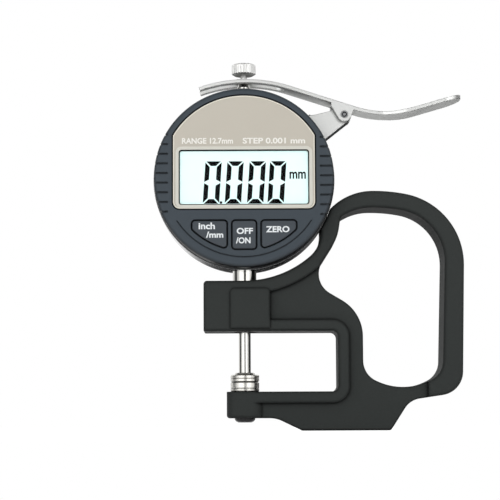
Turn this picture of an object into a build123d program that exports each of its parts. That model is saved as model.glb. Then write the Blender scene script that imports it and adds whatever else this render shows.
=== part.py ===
"""Digital thickness gauge: a cast C-frame with a loop handle, a round digital
indicator on an 8 mm stem, and a pressed lever that lifts the spindle.

Millimetres. The origin is the middle of the anvil's measuring face, +Z runs up the
spindle, the display faces -Y and the loop handle is towards +X.
"""
from build123d import *
import os
from math import cos, sin, tan, radians

# Clearances
closed_gap = 0.02
press_gap = 0.02
running_gap = 0.05
slide_gap = 0.15
turn_gap = 0.3

# Measuring range and lever
travel = 12.7

# Indicator case
case_radius = 30.4
case_foot = 37.2
case_z = case_foot + case_radius
case_front = -8.0
case_back = 8.0
case_wall = 2.8
case_front_wall = 1.6
case_rear_bevel = 1.0
cover_thickness = 1.6
cover_lap = 1.2
cover_screw_inset = 2.0
cover_screw_circle = case_radius - case_wall - cover_screw_inset
cover_screw_length = 4.0
cover_slot_width = 0.4
cover_slot_depth = 0.4
cover_screw_angles = (45, 135, 225, 315)
cover_lug_radius = 2.6
ribbon_window = (9.0, 3.0)

# Swivelling face
bezel_step = 0.4
bezel_radius = case_radius - bezel_step
bezel_front = -15.0
bezel_wall = 2.0
bezel_front_wall = 2.4
bezel_round = 1.3
spigot_length = 1.6
spigot_wall = 1.8
snap_ring_thickness = 0.4
snap_ring_width = 0.9
snap_ring_opening = 5.0
slip_ring_thickness = 0.25
slip_ring_width = 1.4
grip_count = 9
grip_pitch = 3.23
grip_width = 0.55
grip_depth = 0.4
grip_length = 4.7
grip_inner_x = bezel_radius - grip_length
grip_rise = 0.95
grip_skew = 0.5
chin_groove_inset = 3.4
chin_groove_radius = bezel_radius - chin_groove_inset
chin_groove_width = 0.35
chin_groove_depth = 0.25
chin_groove_drop = 14.5

# Face panel, window and display
panel_inset = 2.35
panel_radius = bezel_radius - panel_inset
panel_shoulder = 3.85
panel_half_width = panel_radius - panel_shoulder
panel_drop = 10.75
panel_corner = 2.5
panel_thickness = 1.1
panel_recess = 0.15
panel_gap = 0.25
panel_ledge = 0.8
window_half_width = 21.7
window_half_height = 9.25
window_corner = 1.0
window_rim = 1.1
window_rim_proud = 0.1
lens_thickness = 0.9
lcd_thickness = 1.2
lcd_half_width = 22.2
lcd_below = 9.7
lcd_above = 12.9
backlight_thickness = 0.8
backlight_margin = 0.4
contact_strip_height = 1.6
contact_strip_half_length = 20.0
board_thickness = 1.0
board_post_radius = 1.6
board_gap = 0.4
board_radius = bezel_radius - bezel_wall - board_gap
board_post_inset = 1.0
board_post_circle = board_radius - board_post_inset
board_post_angles = (-42, -138, 62, 118)
board_screw_radius = 0.6
board_screw_head = 1.2
board_screw_head_height = 0.4
board_screw_bite = 0.8
board_to_case = 0.2
driver_chip_size = 9.0
driver_chip_rise = 6.0
dome_radius = 2.2
dome_height = 0.25
dome_crown = 0.6

# Buttons
button_travel = 0.35
button_proud = 0.2
button_gap = 0.35
button_lip = 0.65
button_lip_thickness = 0.5
button_corner = 1.0
button_top_drop = 14.6
power_button_width = 7.8
power_button_height = 9.3
side_button_inner = 5.8
side_button_outer = 17.2
side_button_inset = 5.6
side_button_arc = bezel_radius - side_button_inset
plunger_radius = 1.2
plunger_inset = 1.0
plunger_rise = 0.6

# Stem, bushes and spindle
stem_radius = 4.0
stem_bore = 2.6
stem_foot = 17.3
stem_seat_depth = 5.3
spindle_radius = 2.0
spindle_foot = 3.1
lower_bush_length = 8.0
upper_bush_radius = 3.0
upper_bush_proud = 1.8
upper_bush_length = 8.2
collar_radius = 2.3
collar_height = 0.45
spindle_tip_radius = 1.7
spindle_cone_height = 1.4
block_half_width = 5.5
block_half_depth = 4.6
block_height = 3.6

# Contact point and anvil
contact_radius = 4.8
contact_height = 2.43
contact_collar_radius = 3.45
contact_collar_bevel = 0.3
contact_edge = 0.3
turned_groove = 0.14
anvil_height = 3.3
anvil_shank_radius = 2.0
anvil_shank_length = 5.6
contact_stud_radius = 1.2
contact_stud_length = 4.0
anvil_screw_radius = 1.25
anvil_screw_head = 3.45
anvil_screw_dome = 1.4
anvil_screw_crown = 1.2
anvil_screw_shoulder = 0.4
anvil_screw_slot_width = 0.8
anvil_screw_slot_depth = 0.6

# Lifting knob
knob_radius = 4.1
knob_height = 3.2
knob_groove_count = 24
knob_groove_width = 0.42
knob_bevel_height = 0.6
knob_bevel_radius = 3.1
knob_flange_radius = 3.6
knob_flange_thickness = 0.3
knob_neck_radius = 1.25
knob_neck_taper = 0.25
knob_edge = 0.4
knob_neck_length = 1.65
knob_stud_show = 0.9
knob_stud_radius = 1.0
knob_stud_depth = 4.5

# Slide inside the case
carrier_drop = 17.6
carrier_foot = case_z - carrier_drop
carrier_height = 16.0
carrier_half_depth = 2.6
carrier_right = 2.8
guide_rod_x = -4.4
guide_rod_radius = 1.0
guide_rod_seat = 1.0
guide_rod_wall = 1.0
scale_left = -13.8
scale_right = -6.6
scale_overhang = 1.5
scale_foot = carrier_foot - scale_overhang
scale_length = 23.0
scale_thickness = 0.8
scale_arm_thickness = 1.6
sensor_gap = 0.3
sensor_board_left = -15.0
sensor_board_right = -4.4
sensor_board_foot = carrier_foot
sensor_board_length = 35.0
sensor_board_thickness = 1.0
sensor_post_radius = 1.3
sensor_post_inset = 1.6
reader_chip_width = 5.0
reader_chip_length = 7.0
reader_chip_height = 0.9
sensor_screw_radius = 0.6
sensor_screw_head = 1.1
sensor_screw_head_height = 0.4
spring_mean_radius = 2.6
spring_wire = 0.4
spring_turns = 6

# Battery in the back cover
cell_radius = 10.0
cell_thickness = 3.2
cell_front = 2.4
cup_wall = 1.2
cup_floor = 1.0
cup_slack = 0.4
cup_to_wall = 0.8
battery_x = case_radius - case_wall - cup_to_wall - cup_wall - cup_slack - cell_radius
cap_plug_length = 2.0
cap_flange_overlap = 1.2
cap_flange_thickness = 0.9
coin_slot_length = 15.0
coin_slot_width = 1.8
coin_slot_depth = 0.6
turned_bevel = 0.3
leaf_thickness = 0.3
leaf_length = 14.0
leaf_width = 3.0

# Cast frame
frame_half_depth = 8.5
web_recess = 2.0
frame_edge_round = 1.0
arm_left = -13.7
arm_corner = 1.2
arm_foot_corner = 0.4
throat_height = 16.8
throat_depth = 31.1
throat_corner = 2.0
throat_rim = 3.7
throat_rim_corner = 5.5
cradle_gap = 3.5
cradle_sweep = 40.0
seat_start_angle = -33.0
seat_sweep = 14.0
horn_band = 4.6
panel_left = -4.7
panel_right = 8.45
panel_height = 14.2
panel_proud = 0.4
panel_round = 1.4
boss_radius = 6.05
boss_corner = 3.5
boss_height = 8.8
base_z = -16.3
base_left = 19.2
heel_run = 6.45
heel_reach = 17.5
heel_z = -6.3
handle_foot_z = -3.7
handle_lean = 1.4
handle_foot_round = 8.0
heel_round = 7.0
toe_x = 10.6
toe_round = 10.0
loop_rise_heading = 46.0
loop_rise_radius = 20.0
loop_crown_radius = 57.4
loop_crown_sweep = 10.9
loop_corner_radius = 24.0
handle_band = 6.6
crown_band = 5.7
horn_tip_reach = 3.5
horn_tip_drop = 2.8
horn_middle_reach = 2.5
horn_middle_drop = 9.6
horn_crown_reach = 8.9
horn_crown_round = 18.0
horn_round = 15.0
horn_tip_round = 1.6
bay_corner_x = 22.0
bay_corner_drop = 0.3
bay_round = 7.4
web_corner_z = 23.0
web_corner_round = 14.0
throat_post = 8.4
loop_left = throat_depth + throat_post
loop_foot_left = 2.1
loop_foot_dip = -3.9
loop_foot_share = 0.554
loop_dip_share = 1.518
pocket_reach = 11.45
clamp_screw_radius = 2.0
clamp_screw_length = 3.2
clamp_pad_length = 1.0
clamp_z = 25.3
hex_socket = 1.1
hex_socket_depth = 1.6

# Bracket and lifting lever
pivot_reach = 3.7
pivot_rise = 22.73
pivot_x = case_radius + pivot_reach
pivot_z = case_z + pivot_rise
pin_radius = 1.1
pin_end_proud = 0.25
pin_groove_depth = 0.5
sheet = 1.2
bracket_half_width = 3.8
bracket_nose = 2.45
bracket_top_angle = 104.0
bracket_foot_angle = -53.0
bracket_case_top = 48.0
bracket_case_foot = 27.0
bracket_screw_angles = (33.0, 44.0)
bracket_screw_radius = 0.9
bracket_screw_head = 1.5
bracket_screw_head_height = 0.9
lever_half_width = 5.2
lever_tip_x = -15.2
lever_tip_drop = 2.9
lever_tip_heading = 19.5
lever_arch_radius = 48.0
lever_arch_sweep = 37.5
lever_straight = 23.5
lever_dip_radius = 34.0
lever_dip_sweep = 34.2
lever_thumb_length = 16.6
fork_slot_half = 3.0
fork_slot_end = 14.0
pad_half_width = 6.8
pad_start = 54.0
pad_tip = 1.4
ear_nose = 2.4
ear_left_reach = 4.4
ear_right_reach = 3.3
ear_shoulder = 1.8


def slab(face, near, far):
    """Carry a face drawn in x and z from y = near back to y = far."""
    return extrude(Plane.XZ.offset(-far) * face, amount=far - near)


def rod_y(radius, near, far, x=0.0, z=case_z):
    """A round bar along Y."""
    return slab(Pos(x, z) * Circle(radius), near, far)


def rod_z(radius, low, high, x=0.0, y=0.0):
    """A round bar along Z."""
    return Pos(x, y, (low + high) / 2) * Cylinder(radius, high - low)


def block(x_low, x_high, y_low, y_high, z_low, z_high):
    """A box given by its limits."""
    middle = Pos((x_low + x_high) / 2, (y_low + y_high) / 2, (z_low + z_high) / 2)
    return middle * Box(x_high - x_low, y_high - y_low, z_high - z_low)


def turned(points):
    """A turned piece on the spindle axis, from its half section (radius, z)."""
    return revolve(Plane.XZ * make_face(Polyline(points, close=True)), Axis.Z)


def on_circle(radius, angle, x=0.0, z=case_z):
    """The point (x, z) at an angle on a circle about the case's centre."""
    return (x + radius * cos(radians(angle)), z + radius * sin(radians(angle)))


def rectangle(x_low, x_high, z_low, z_high, corner=0.0):
    """A rectangle in x and z, with round corners if asked."""
    middle = Pos((x_low + x_high) / 2, (z_low + z_high) / 2)
    width = x_high - x_low
    height = z_high - z_low
    if corner > 0:
        return middle * RectangleRounded(width, height, corner)
    return middle * Rectangle(width, height)


# Cast C-frame

def arm_top():
    """The z of the arm's upper edge, under the case."""
    return case_foot - cradle_gap


def seat_end():
    """The point (x, z) where the case leaves its seat in the casting."""
    return on_circle(case_radius + running_gap, seat_start_angle + seat_sweep)


def crown_start():
    """The point (x, z) at the top of the rise from the seat to the loop."""
    x, z = seat_end()
    turn = radians(loop_rise_heading)
    return (x + loop_rise_radius * sin(turn), z + loop_rise_radius * (1 - cos(turn)))


def crown_and_corner(crown_inset, corner_inset):
    """The loop's crown and its corner, drawn inside the outline by the insets."""
    x, z = crown_start()
    crown = JernArc((x, z - crown_inset), (1, 0), loop_crown_radius - crown_inset,
                    -loop_crown_sweep)
    corner_sweep = 90 - loop_crown_sweep + handle_lean
    corner = JernArc(crown @ 1, crown % 1, loop_corner_radius - corner_inset, -corner_sweep)
    return crown, corner


def handle_x():
    """The x of the handle's outer edge at its foot."""
    top = crown_and_corner(0, 0)[1] @ 1
    return top.X - (top.Y - handle_foot_z) * tan(radians(handle_lean))


def frame_outline():
    """The silhouette of the casting, clockwise from the arm over the loop."""
    cradle = JernArc((0, arm_top()), (1, 0), case_radius + cradle_gap, cradle_sweep)
    seat = CenterArc((0, case_z), case_radius + running_gap, seat_start_angle, seat_sweep)
    neck = TangentArc(cradle @ 1, seat @ 0, tangent=cradle % 1)
    heading = (cos(radians(loop_rise_heading)), sin(radians(loop_rise_heading)))
    rise = JernArc(seat @ 1, heading, loop_rise_radius, -loop_rise_heading)
    crown, corner = crown_and_corner(0, 0)
    arm_foot = throat_height
    lower_top = -anvil_height
    boss_foot = lower_top - boss_height
    heel_x = handle_x() - heel_reach
    rest = FilletPolyline(
        corner @ 1,
        (handle_x(), handle_foot_z),
        (heel_x, heel_z),
        (heel_x - heel_run, base_z),
        (base_left, base_z),
        (toe_x, boss_foot),
        (0, boss_foot),
        (0, lower_top),
        (throat_depth, lower_top),
        (throat_depth, arm_foot),
        (arm_left, arm_foot),
        (arm_left, arm_top()),
        (0, arm_top()),
        radius=(handle_foot_round, heel_round, arm_corner, arm_corner, toe_round, 0, 0,
                throat_corner, throat_corner, arm_foot_corner, arm_corner),
    )
    return make_face([cradle, neck, seat, rise, crown, corner, rest])


def loop_opening():
    """The finger loop, with the bay between the horn and the throat."""
    crown, corner = crown_and_corner(crown_band, handle_band)
    seat_x, seat_z = seat_end()
    grip_x = handle_x() - handle_band
    half_foot = (grip_x - loop_left) / 2
    foot_round = loop_foot_share * half_foot
    dip_round = loop_dip_share * half_foot
    rest = FilletPolyline(
        corner @ 1,
        (grip_x, loop_foot_left),
        (loop_left + half_foot, loop_foot_dip),
        (loop_left, loop_foot_left),
        (loop_left, web_corner_z),
        (bay_corner_x, arm_top() - bay_corner_drop),
        (seat_x + horn_middle_reach, seat_z - horn_middle_drop),
        (seat_x + horn_tip_reach, seat_z - horn_tip_drop),
        (seat_x + horn_crown_reach, crown_start()[1] - crown_band),
        crown @ 0,
        radius=(foot_round, dip_round, foot_round, web_corner_round, bay_round, horn_round,
                horn_tip_round, horn_crown_round),
    )
    return make_face([crown, corner, rest])


def web_pocket():
    """The sunk field of the casting, from the arm's panel to the handle."""
    rim_top = throat_height + throat_rim
    rim_side = throat_depth + throat_rim
    rim_foot = -anvil_height - throat_rim
    band_radius = case_radius + cradle_gap + horn_band
    reach = (band_radius ** 2 - panel_right ** 2) ** 0.5
    band_start = (panel_right, case_z - reach)
    band_end = on_circle(band_radius, -45)
    band = RadiusArc(band_end, band_start, band_radius)
    pocket_end = handle_x() - pocket_reach
    rest = FilletPolyline(
        band_end,
        (loop_left + throat_rim, band_end[1]),
        (loop_left + throat_rim, web_corner_z / 2),
        (pocket_end, web_corner_z / 2),
        (pocket_end, base_z - throat_rim),
        (0, base_z - throat_rim),
        (0, rim_foot),
        (rim_side, rim_foot),
        (rim_side, rim_top),
        (panel_right, rim_top),
        band_start,
        radius=(0, 0, 0, 0, 0, 0, throat_rim_corner, throat_rim_corner, 0),
    )
    return make_face([band, rest])


def make_frame():
    """Casting with raised rims, the arm's panel, the anvil boss and its bores."""
    body = slab(frame_outline(), -frame_half_depth, frame_half_depth)
    body -= slab(loop_opening(), -frame_half_depth, frame_half_depth)
    faces = body.faces().sort_by(Axis.Y)
    rims = ShapeList(faces[0].edges() + faces[-1].edges())
    rims = rims.filter_by(lambda e: e.center().X > 0.01)
    body = fillet(rims, frame_edge_round)
    floor = frame_half_depth - web_recess
    pocket = web_pocket()
    body -= slab(pocket, -frame_half_depth - 1, -floor)
    body -= slab(pocket, floor, frame_half_depth + 1)
    panel = rectangle(panel_left, panel_right, throat_height + frame_edge_round,
                      throat_height + panel_height)
    panel = fillet(panel.vertices().group_by(Axis.Y)[-1], panel_round)
    depth = frame_half_depth + panel_proud
    body += slab(panel, -depth, depth)
    low = -anvil_height - boss_height
    boss_plan = RectangleRounded(2 * boss_radius, 2 * frame_half_depth, boss_corner)
    boss = Pos(0, 0, low) * extrude(boss_plan, amount=boss_height)
    boss = fillet(boss.edges().group_by(Axis.Z)[0], frame_edge_round)
    body += boss
    body -= rod_z(stem_radius + press_gap, throat_height - 1, case_z)
    body -= rod_z(anvil_shank_radius + press_gap, -anvil_height - anvil_shank_length, 0)
    body -= rod_z(anvil_screw_radius + slide_gap, low - 1, -anvil_height)
    body -= rod_y(clamp_screw_radius + press_gap, 0, depth + 1, z=clamp_z)
    return body


def make_anvil():
    """Flat lower measuring disc with its shank, tapped for the screw below."""
    shank_foot = -anvil_height - anvil_shank_length
    disc = turned([
        (0, -anvil_height),
        (contact_radius - contact_edge, -anvil_height),
        (contact_radius, -anvil_height + contact_edge),
        (contact_radius, -contact_edge - 2 * turned_groove - anvil_height / 2),
        (contact_radius - turned_groove, -contact_edge - turned_groove - anvil_height / 2),
        (contact_radius, -contact_edge - anvil_height / 2),
        (contact_radius, -contact_edge),
        (contact_radius - contact_edge, 0),
        (0, 0),
    ])
    shank = rod_z(anvil_shank_radius, shank_foot, -anvil_height)
    tapped = rod_z(anvil_screw_radius + press_gap, shank_foot, -anvil_height)
    return disc + shank - tapped


def make_anvil_screw():
    """Low domed screw under the boss that draws the anvil down."""
    seat = -anvil_height - boss_height
    dome = turned([
        (0, seat - anvil_screw_dome),
        (anvil_screw_head - anvil_screw_crown, seat - anvil_screw_dome),
        (anvil_screw_head - anvil_screw_shoulder, seat - anvil_screw_dome + anvil_screw_shoulder),
        (anvil_screw_head, seat - anvil_screw_shoulder),
        (anvil_screw_head, seat),
        (0, seat),
    ])
    half = anvil_screw_slot_width / 2
    slot = block(-anvil_screw_head, anvil_screw_head, -half, half, seat - anvil_screw_dome - 1,
                 seat - anvil_screw_dome + anvil_screw_slot_depth)
    return dome - slot + rod_z(anvil_screw_radius, seat, -anvil_height - 1)


def make_stem_clamp_screw():
    """Socket set screw in the back of the arm."""
    near = stem_radius + clamp_pad_length + 2 * press_gap
    far = near + clamp_screw_length
    socket = slab(Pos(0, clamp_z) * RegularPolygon(hex_socket, 6), far - hex_socket_depth,
                  far + 1)
    return rod_y(clamp_screw_radius, near, far, z=clamp_z) - socket


def make_clamp_pad():
    """Soft brass pad between the set screw and the stem."""
    near = stem_radius + press_gap
    pad = rod_y(clamp_screw_radius - press_gap, 0, near + clamp_pad_length, z=clamp_z)
    return pad - rod_z(stem_radius + press_gap, 0, case_z)


# Indicator case

def make_case_shell():
    """Metal drum with its front wall, swivel spigot, bush blocks and cover lugs."""
    inner = case_radius - case_wall
    seat_y = case_back - cover_thickness
    drum = rod_y(case_radius, case_front, case_back)
    rear_edges = drum.edges().filter_by(GeomType.CIRCLE).sort_by(Axis.Y)[-1:]
    drum = chamfer(rear_edges, case_rear_bevel)
    drum -= rod_y(inner, case_front + case_front_wall, case_back + 1)
    drum -= rod_y(inner + cover_lap, seat_y, case_back + 1)
    spigot_radius = bezel_radius - bezel_wall - turn_gap
    drum += rod_y(spigot_radius, case_front - spigot_length, case_front)
    drum -= rod_y(spigot_radius - spigot_wall, case_front - spigot_length - 1, case_front)
    ring_y = snap_ring_place()
    groove = rod_y(spigot_radius + 1, ring_y - 2 * running_gap - slide_gap,
                   ring_y + snap_ring_thickness + 2 * running_gap + slide_gap)
    groove -= rod_y(snap_ring_inner() - turn_gap, case_front - spigot_length - 1, case_front)
    drum -= groove
    room = rod_y(case_radius - 1, case_front, seat_y)
    low = case_z - inner
    lower_block = block(-block_half_width - 1, block_half_width, -block_half_depth,
                        block_half_depth, low - 1.5, low + block_height)
    high = case_z + inner
    upper_block = block(-block_half_width - 1, block_half_width, -block_half_depth,
                        block_half_depth, high - block_height, high + 1.5)
    drum += (lower_block & room) + (upper_block & room)
    for angle in cover_screw_angles:
        x, z = on_circle(cover_screw_circle, angle)
        lug = rod_y(cover_lug_radius, case_front + case_front_wall, seat_y, x, z)
        drum += lug
        drum -= rod_y(bracket_screw_radius + press_gap, seat_y - cover_screw_length, seat_y,
                      x, z)
    for x, z in sensor_post_places():
        front = case_front + case_front_wall
        drum += rod_y(sensor_post_radius, front, sensor_board_front(), x, z)
        drum -= rod_y(sensor_screw_radius + press_gap, front, sensor_board_front(), x, z)
    drum -= rod_z(stem_radius + press_gap, 0, stem_top())
    drum -= rod_z(spindle_radius + slide_gap, 0, case_z)
    drum -= rod_z(upper_bush_radius + press_gap, case_z, case_z + 2 * case_radius)
    drum -= rod_z(guide_rod_radius + press_gap, guide_rod_low(), guide_rod_high(), guide_rod_x)
    window = Pos(sensor_board_left, case_z) * Rectangle(*ribbon_window)
    drum -= slab(window, case_front - 1, case_front + case_front_wall)
    for angle in bracket_screw_angles:
        drum -= radial_rod(bracket_screw_radius + press_gap, inner - 1, case_radius + 1, angle)
    return drum


def radial_rod(radius, start, end, angle):
    """A round bar pointing out from the case's centre at an angle."""
    bar = Pos(0, 0, (start + end) / 2) * Cylinder(radius, end - start)
    return Pos(0, 0, case_z) * (Rot(0, 90 - angle, 0) * bar)


def snap_ring_place():
    """The y of the snap ring's front face."""
    return case_front - spigot_length / 2 - snap_ring_thickness / 2


def snap_ring_inner():
    """The snap ring's inner radius."""
    return bezel_radius - bezel_wall + snap_ring_width / 2 - snap_ring_width


def stem_top():
    """The z of the stem's upper end in the case."""
    return case_foot + stem_seat_depth


def lower_block_top():
    """The z of the top of the lower block inside the case."""
    return case_foot + case_wall + block_height


def upper_block_foot():
    """The z of the underside of the upper block inside the case."""
    return case_z + case_radius - case_wall - block_height


def guide_rod_low():
    """The z of the guide rod's lower end."""
    return lower_block_top() - guide_rod_seat


def guide_rod_high():
    """The z of the guide rod's upper end."""
    return upper_block_foot() + guide_rod_seat


def sensor_board_front():
    """The y of the sensor board's front face, behind which the scale runs."""
    return -carrier_half_depth - sensor_gap - sensor_gap - sensor_board_thickness


def sensor_post_places():
    """Where the sensor board is screwed down."""
    inset = sensor_post_inset
    columns = (sensor_board_left + inset, sensor_board_right - inset)
    rows = (sensor_board_foot + inset, sensor_board_foot + sensor_board_length - inset)
    return [(x, z) for x in columns for z in rows]


def make_back_cover():
    """Rear plate with the battery cup."""
    near = case_back - cover_thickness
    seat = case_radius - case_wall + cover_lap - slide_gap
    plate = rod_y(seat, near, case_back)
    cup_inner = cell_radius + cup_slack
    cup_front = cell_front - cup_floor - leaf_thickness - slide_gap
    plate += rod_y(cup_inner + cup_wall, cup_front, near, battery_x)
    plate -= rod_y(cup_inner, cup_front + cup_floor, case_back + 1, battery_x)
    for angle in cover_screw_angles:
        x, z = on_circle(cover_screw_circle, angle)
        plate -= rod_y(bracket_screw_radius + slide_gap, near - 1, case_back + 1, x, z)
        plate -= rod_y(bracket_screw_head + slide_gap, case_back - cover_thickness / 2,
                       case_back + 1, x, z)
    return plate


def make_back_cover_screws():
    """Four slotted screws, flush in the rear plate."""
    screws = []
    seat = case_back - cover_thickness / 2
    for angle in cover_screw_angles:
        x, z = on_circle(cover_screw_circle, angle)
        screw = rod_y(bracket_screw_head, seat, case_back - running_gap, x, z)
        screw += rod_y(bracket_screw_radius, seat - cover_screw_length, seat, x, z)
        half = cover_slot_width / 2
        slot = block(x - bracket_screw_head, x + bracket_screw_head,
                     case_back - cover_slot_depth, case_back + 1, z - half, z + half)
        screws.append(screw - slot)
    return Compound(screws)


def make_battery_cell():
    """Flat coin cell."""
    return rod_y(cell_radius, cell_front, cell_front + cell_thickness, battery_x)


def make_battery_contact():
    """Spring leaf under the cell."""
    near = cell_front - leaf_thickness - slide_gap
    half = leaf_length / 2
    leaf = block(battery_x - half, battery_x + half, near, near + leaf_thickness,
                 case_z - leaf_width / 2, case_z + leaf_width / 2)
    return leaf + rod_y(leaf_width / 2 - 0.3, near, cell_front - closed_gap, battery_x)


def make_battery_cover():
    """Coin-slotted battery cap in the rear plate."""
    plug = cell_radius + cup_slack - running_gap
    cap = rod_y(plug, case_back - cap_plug_length, case_back + running_gap, battery_x)
    rim = plug + cap_flange_overlap
    outer = case_back + running_gap + cap_flange_thickness
    cap += rod_y(rim, case_back + running_gap, outer, battery_x)
    cap = chamfer(cap.edges().filter_by(GeomType.CIRCLE).sort_by(Axis.Y)[-1:], turned_bevel)
    half = coin_slot_length / 2
    slot = block(battery_x - half, battery_x + half, outer - coin_slot_depth, outer + 1,
                 case_z - coin_slot_width / 2, case_z + coin_slot_width / 2)
    return cap - slot


def make_stem():
    """Mounting stem, clamped in the arm and seated in the case."""
    stem = rod_z(stem_radius, stem_foot, stem_top())
    return stem - rod_z(stem_bore, stem_foot - 1, stem_top() + 1)


def make_lower_bush():
    """Plain bush at the foot of the stem."""
    top = stem_foot + lower_bush_length
    bush = rod_z(stem_bore - press_gap, stem_foot, top)
    return bush - rod_z(spindle_radius + running_gap, stem_foot - 1, top + 1)


def upper_bush_top():
    """The z of the top of the upper bush."""
    return case_z + case_radius + upper_bush_proud


def make_upper_bush():
    """Bush that stands out of the top of the case."""
    top = upper_bush_top()
    bush = rod_z(upper_bush_radius, top - upper_bush_length, top)
    bush = chamfer(bush.edges().group_by(Axis.Z)[-1], turned_bevel)
    return bush - rod_z(spindle_radius + running_gap, case_z, top + 1)


def make_guide_rod():
    """Rod beside the spindle that stops the slide from turning."""
    return rod_z(guide_rod_radius, guide_rod_low(), guide_rod_high(), guide_rod_x)


def make_sensor_board():
    """Reader board of the capacitive scale, with its chip."""
    front = sensor_board_front()
    board = block(sensor_board_left, sensor_board_right, front, front + sensor_board_thickness,
                  sensor_board_foot, sensor_board_foot + sensor_board_length)
    middle = sensor_board_foot + sensor_board_length / 2
    x = (sensor_board_left + sensor_board_right) / 2
    board += block(x - reader_chip_width / 2, x + reader_chip_width / 2,
                   front - reader_chip_height, front, middle - reader_chip_length / 2,
                   middle + reader_chip_length / 2)
    for x, z in sensor_post_places():
        board -= rod_y(sensor_screw_radius + slide_gap, front - 1, 0, x, z)
    return board


def make_sensor_board_screws():
    """Four small screws that hold the sensor board to its posts."""
    back = sensor_board_front() + sensor_board_thickness
    screws = []
    for x, z in sensor_post_places():
        shank = rod_y(sensor_screw_radius, case_front + case_front_wall + 0.5, back, x, z)
        head = rod_y(sensor_screw_head, back, back + sensor_screw_head_height, x, z)
        screws.append(shank + head)
    return Compound(screws)


# Spindle and slide

def make_spindle():
    """Hardened spindle with its conical top, drilled at both ends."""
    top = upper_bush_top() + slide_gap
    shaft = turned([
        (0, spindle_foot),
        (spindle_radius, spindle_foot),
        (spindle_radius, top),
        (collar_radius, top),
        (collar_radius, top + collar_height),
        (spindle_tip_radius, top + collar_height + spindle_cone_height),
        (0, top + collar_height + spindle_cone_height),
    ])
    stud_hole = rod_z(contact_stud_radius + press_gap, 0, spindle_foot + contact_stud_length)
    knob_hole = rod_z(knob_stud_radius + press_gap, spindle_top() - knob_stud_depth,
                      spindle_top() + 1)
    return shaft - stud_hole - knob_hole


def spindle_top():
    """The z of the spindle's conical tip."""
    return upper_bush_top() + slide_gap + collar_height + spindle_cone_height


def make_contact_point():
    """Flat upper measuring disc, screwed into the spindle."""
    low = closed_gap
    top = low + contact_height
    middle = low + contact_height / 2
    disc = turned([
        (0, low),
        (contact_radius - contact_edge, low),
        (contact_radius, low + contact_edge),
        (contact_radius, middle - turned_groove),
        (contact_radius - turned_groove, middle),
        (contact_radius, middle + turned_groove),
        (contact_radius, top - contact_edge),
        (contact_radius - contact_edge, top),
        (contact_collar_radius, top),
        (contact_collar_radius - contact_collar_bevel, spindle_foot),
        (0, spindle_foot),
    ])
    return disc + rod_z(contact_stud_radius, spindle_foot,
                        spindle_foot + contact_stud_length - slide_gap)


def knob_flange_foot():
    """The z of the underside of the knob's flange, just over the lever."""
    return spindle_top() + knob_stud_show


def make_lift_knob():
    """Knurled knob with a bevelled underside, a neck and the flange that the fork lifts."""
    foot = knob_flange_foot()
    flange_top = foot + knob_flange_thickness
    bevel_foot = flange_top + knob_neck_length
    underside = bevel_foot + knob_bevel_height
    top = underside + knob_height
    knob = turned([
        (0, foot),
        (knob_flange_radius, foot),
        (knob_flange_radius, flange_top),
        (knob_neck_radius, flange_top),
        (knob_neck_radius - knob_neck_taper, bevel_foot),
        (knob_bevel_radius, bevel_foot),
        (knob_radius, underside),
        (knob_radius, top - knob_edge),
        (knob_radius - knob_edge, top),
        (0, top),
    ])
    bar = Box(knob_groove_width, knob_groove_width, top - bevel_foot)
    cutter = Pos(knob_radius, 0, (top + bevel_foot) / 2) * (Rot(0, 0, 45) * bar)
    for number in range(knob_groove_count):
        knob -= Rot(0, 0, 360 * number / knob_groove_count) * cutter
    stud_foot = spindle_top() - knob_stud_depth + slide_gap
    return knob + rod_z(knob_stud_radius, stud_foot, foot)


def make_scale_carrier():
    """Slide clamped on the spindle, with the arm that carries the scale."""
    left = guide_rod_x - guide_rod_radius - guide_rod_wall
    top = carrier_foot + carrier_height
    slide = block(left, carrier_right, -carrier_half_depth + sensor_gap, carrier_half_depth,
                  carrier_foot, top)
    arm_back = scale_arm_front() + scale_arm_thickness
    slide += block(scale_left, left, scale_arm_front(), arm_back, scale_foot,
                   scale_foot + scale_length)
    slide -= rod_z(spindle_radius + press_gap, carrier_foot - 1, top + 1)
    return slide - rod_z(guide_rod_radius + running_gap, carrier_foot - 1, top + 1, guide_rod_x)


def scale_arm_front():
    """The y of the arm's front face, where the scale is bonded."""
    return -carrier_half_depth - sensor_gap + scale_thickness + sensor_gap


def make_scale_strip():
    """Etched scale on the slide's arm."""
    front = scale_arm_front()
    return block(scale_left, scale_right, front - scale_thickness, front, scale_foot,
                 scale_foot + scale_length)


def make_return_spring():
    """Light spring round the spindle that presses the slide down."""
    low = carrier_foot + carrier_height + spring_wire + running_gap
    high = upper_bush_top() - upper_bush_length - spring_wire - running_gap
    path = Pos(0, 0, low) * Helix((high - low) / spring_turns, high - low, spring_mean_radius)
    section = Plane(origin=path @ 0, x_dir=(1, 0, 0), z_dir=path % 0)
    section = section * Rectangle(spring_wire, spring_wire)
    return sweep(section, path=path, is_frenet=True)


# Swivelling face

def panel_face(inset):
    """The D-shaped face of the panel, drawn smaller by the inset."""
    foot = case_z - panel_drop + inset
    radius = panel_radius - inset
    half = panel_half_width - inset
    shape = (Pos(0, case_z) * Circle(radius)) & rectangle(-half, half, foot, case_z + radius)
    return fillet(shape.vertices().group_by(Axis.Y)[0], panel_corner - inset)


def button_face(name, grow):
    """The outline of one button, drawn larger by the given amount."""
    top = case_z - button_top_drop + grow
    if name == "power":
        half = power_button_width / 2 + grow
        foot = top - power_button_height - 2 * grow
        return rectangle(-half, half, foot, top, button_corner + grow)
    inner = side_button_inner - grow
    outer = side_button_outer + grow
    side = -1 if name == "unit" else 1
    low = min(side * inner, side * outer)
    high = max(side * inner, side * outer)
    shape = rectangle(low, high, case_z - side_button_arc - grow, top)
    shape = shape & (Pos(0, case_z) * Circle(side_button_arc + grow))
    return fillet(shape.vertices(), button_corner + grow)


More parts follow.
